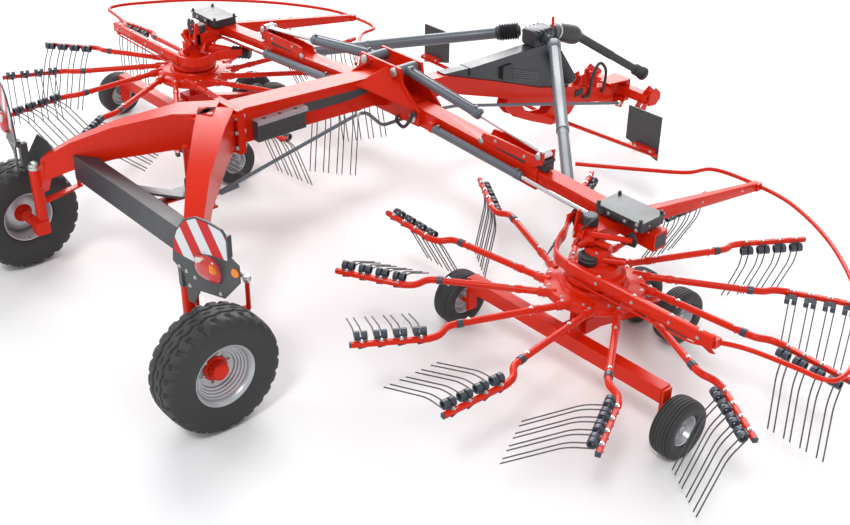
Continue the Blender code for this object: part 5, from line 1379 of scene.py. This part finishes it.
def stage(lights):
    """White floor that keeps the shadow, white surroundings, three lamps and the camera."""
    scene = bpy.context.scene
    scene.view_settings.view_transform = "Standard"
    world = bpy.data.worlds.new("studio")
    scene.world = world
    world.use_nodes = True
    tree = world.node_tree
    ground = tree.nodes["Background"]
    ground.inputs["Color"].default_value = (0.95, 0.97, 1.0, 1.0)
    ground.inputs["Strength"].default_value = lights.sky
    mixed = white_to_camera(tree, ground.outputs[0], 1.0)
    tree.links.new(mixed.outputs[0], tree.nodes["World Output"].inputs["Surface"])
    sun("key_lamp", (-0.35, 0.55, -0.9), lights.key, 12)
    sun("side_lamp", (0.9, 0.5, -0.55), lights.side, 25)
    sun("sheen_lamp", (0.643, -0.574, -0.507), lights.sheen, 50)
    floor = bpy.data.meshes.new("floor")
    floor.from_pydata([(-40, -40, 0), (40, -40, 0), (40, 40, 0), (-40, 40, 0)], [], [(0, 1, 2, 3)])
    made = bpy.data.objects.new("floor", floor)
    scene.collection.objects.link(made)
    material = base_material("white_floor", 0.9, **{"Base Color": linear("#f2f2f2")})[0]
    floor.materials.append(material)
    camera = bpy.data.cameras.new("camera")
    camera.lens = CAMERA_LENS
    camera.sensor_width = CAMERA_SENSOR
    yaw, pitch, roll = (math.radians(v) for v in (CAMERA_YAW, CAMERA_PITCH, CAMERA_ROLL))
    ahead = Vector((-math.sin(yaw) * math.cos(pitch), math.cos(yaw) * math.cos(pitch), -math.sin(pitch)))
    level = Vector((math.cos(yaw), math.sin(yaw), 0))
    upright = level.cross(ahead)
    right = math.cos(roll) * level + math.sin(roll) * upright
    top = math.cos(roll) * upright - math.sin(roll) * level
    view = bpy.data.objects.new("camera", camera)
    view.matrix_world = Matrix.Translation(CAMERA_PLACE) @ Matrix((right, top, -ahead)).transposed().to_4x4()
    scene.collection.objects.link(view)
    scene.camera = view


# Panel, its values and the operators

class RakeSizes(bpy.types.PropertyGroup):
    """Sizes of the fine pieces."""
    tread: bpy.props.FloatProperty(name="Tread depth", description="Depth of the grooves in the rear tyres",
                                   default=0.016, unit="LENGTH")
    rib: bpy.props.FloatProperty(name="Rib depth", description="Depth of the grooves in the small tyres",
                                 default=0.006, unit="LENGTH")
    coil_radius: bpy.props.FloatProperty(name="Coil radius", description="Outer radius of the tine coils",
                                         default=0.033, unit="LENGTH")
    tine_radius: bpy.props.FloatProperty(name="Tine radius", description="Radius of the tine wire",
                                         default=0.005, unit="LENGTH")


class RakeColours(bpy.types.PropertyGroup):
    """Colours of the main finishes."""
    enamel: bpy.props.FloatVectorProperty(name="Enamel", description="Colour of the enamelled steel",
                                          subtype="COLOR", size=3, default=linear("#d4260a")[:3])
    grey: bpy.props.FloatVectorProperty(name="Powder coat", subtype="COLOR", size=3,
                                        description="Colour of the dark powder-coated pieces",
                                        default=linear("#30343a")[:3])


class RakeLights(bpy.types.PropertyGroup):
    """Strengths of the lamps."""
    key: bpy.props.FloatProperty(name="Key", description="Strength of the main lamp", default=1.05)
    side: bpy.props.FloatProperty(name="Side", description="Strength of the lamps at the sides", default=0.45)
    sheen: bpy.props.FloatProperty(name="Sheen", default=2.9,
                                   description="Strength of the wide lamp behind, for the gloss of top faces")
    sky: bpy.props.FloatProperty(name="Sky", description="Strength of the even light from all round",
                                 default=0.65)


class RAKE_OT_stage(bpy.types.Operator):
    """Sets up the floor, the surroundings, the lamps and the camera"""
    bl_idname = "rake.stage"
    bl_label = "Stage"

    def execute(self, context):
        stage(context.scene.rake_lights)
        return {"FINISHED"}


class RAKE_OT_finishes(bpy.types.Operator):
    """Makes every paint, rubber, plastic and metal of the rake"""
    bl_idname = "rake.finishes"
    bl_label = "Finishes"

    def execute(self, context):
        make_finishes(context.scene.rake_colours)
        return {"FINISHED"}


class RAKE_OT_steelwork(bpy.types.Operator):
    """Gives the welded beams and brackets rounded edges and their paint"""
    bl_idname = "rake.steelwork"
    bl_label = "Beams and brackets"

    def execute(self, context):
        for name, finish, body, edge in SOFT_NODES:
            softened(name, finish, body, edge)
        for side in SIDES:
            word = side_word(side)
            for name, finish, body, edge in SOFT_PAIRS:
                softened(name + "_" + word, finish, body + "_" + word, edge)
        return {"FINISHED"}


class RAKE_OT_wheels(bpy.types.Operator):
    """Builds the rear wheels and the small wheels under the rotors"""
    bl_idname = "rake.wheels"
    bl_label = "Wheels"

    def execute(self, context):
        sizes = context.scene.rake_sizes
        for side in SIDES:
            word = side_word(side)
            big_wheel(side, sizes)
            x, rear, ahead = side * ROTOR_X, ROTOR_Y - SINGLE_BACK, ROTOR_Y + PAIR_AHEAD
            for name, node_name, places in (
                    ("outer_wheel_", "rear_wheel_outer_", [(x + side * SINGLE_OUT, rear)]),
                    ("inner_wheel_", "rear_wheel_inner_", [(x - side * SINGLE_OUT, rear)]),
                    ("front_pair_", "front_wheels_", [(x - PAIR_HALF, ahead), (x + PAIR_HALF, ahead)])):
                small_wheel(name + word, places, name + word, node_name + word, sizes)
        return {"FINISHED"}


class RAKE_OT_rotors(bpy.types.Operator):
    """Builds the tined rotors with their heads and hoods"""
    bl_idname = "rake.rotors"
    bl_label = "Rotors"

    def execute(self, context):
        for side in SIDES:
            rotor(side, context.scene.rake_sizes)
            rotor_head(side)
            hood(side)
            boom_end(side)
        return {"FINISHED"}


class RAKE_OT_cylinders(bpy.types.Operator):
    """Builds the hydraulic cylinders of the booms"""
    bl_idname = "rake.cylinders"
    bl_label = "Cylinders"

    def execute(self, context):
        for side in SIDES:
            lift_cylinder(side)
            width_cylinder(side)
        return {"FINISHED"}


class RAKE_OT_drive(bpy.types.Operator):
    """Builds the gearbox, its input shaft and the drive shafts to the rotors"""
    bl_idname = "rake.drive"
    bl_label = "Drive"

    def execute(self, context):
        gearbox()
        support_fittings()
        input_shaft()
        for side in SIDES:
            drive_shafts(side)
        return {"FINISHED"}


class RAKE_OT_guards(bpy.types.Operator):
    """Builds the hoops round the rotors, the front panels and the warning boards"""
    bl_idname = "rake.guards"
    bl_label = "Guards and boards"

    def execute(self, context):
        front_guard()
        for side in SIDES:
            guards(side)
            warning_boards(side)
            kingpin_top(side)
        inner_bracket()
        return {"FINISHED"}


class RAKE_OT_fittings(bpy.types.Operator):
    """Builds the steering rods, the bolts and the pins"""
    bl_idname = "rake.fittings"
    bl_label = "Steering and fittings"

    def execute(self, context):
        steering_rod()
        for side in SIDES:
            track_rod(side)
        beam_box()
        steering_post()
        drawbar_fittings()
        flange_bolts()
        for side in SIDES:
            boom_pins(side)
        return {"FINISHED"}


STEPS = (RAKE_OT_stage, RAKE_OT_finishes, RAKE_OT_steelwork, RAKE_OT_wheels, RAKE_OT_rotors,
         RAKE_OT_cylinders, RAKE_OT_drive, RAKE_OT_guards, RAKE_OT_fittings)


class RAKE_PT_panel(bpy.types.Panel):
    """Lists the steps that build the looks, with their sizes and colours"""
    bl_label = "Hay Rake"
    bl_idname = "RAKE_PT_panel"
    bl_space_type = "VIEW_3D"
    bl_region_type = "UI"
    bl_category = "Hay Rake"

    def draw(self, context):
        for step in STEPS:
            self.layout.operator(step.bl_idname)
        for group in (context.scene.rake_sizes, context.scene.rake_colours, context.scene.rake_lights):
            for name in group.__annotations__:
                self.layout.prop(group, name)


CLASSES = (RakeSizes, RakeColours, RakeLights) + STEPS + (RAKE_PT_panel,)


def register():
    """Adds the classes and the panel's values."""
    for item in CLASSES:
        bpy.utils.register_class(item)
    bpy.types.Scene.rake_sizes = bpy.props.PointerProperty(type=RakeSizes)
    bpy.types.Scene.rake_colours = bpy.props.PointerProperty(type=RakeColours)
    bpy.types.Scene.rake_lights = bpy.props.PointerProperty(type=RakeLights)


def unregister():
    """Takes the classes and the panel's values away again."""
    del bpy.types.Scene.rake_sizes
    del bpy.types.Scene.rake_colours
    del bpy.types.Scene.rake_lights
    for item in reversed(CLASSES):
        bpy.utils.unregister_class(item)


def main():
    """Builds the whole scene in order."""
    register()
    for step in STEPS:
        group, name = step.bl_idname.split(".")
        getattr(getattr(bpy.ops, group), name)()


if __name__ == "__main__":
    main()
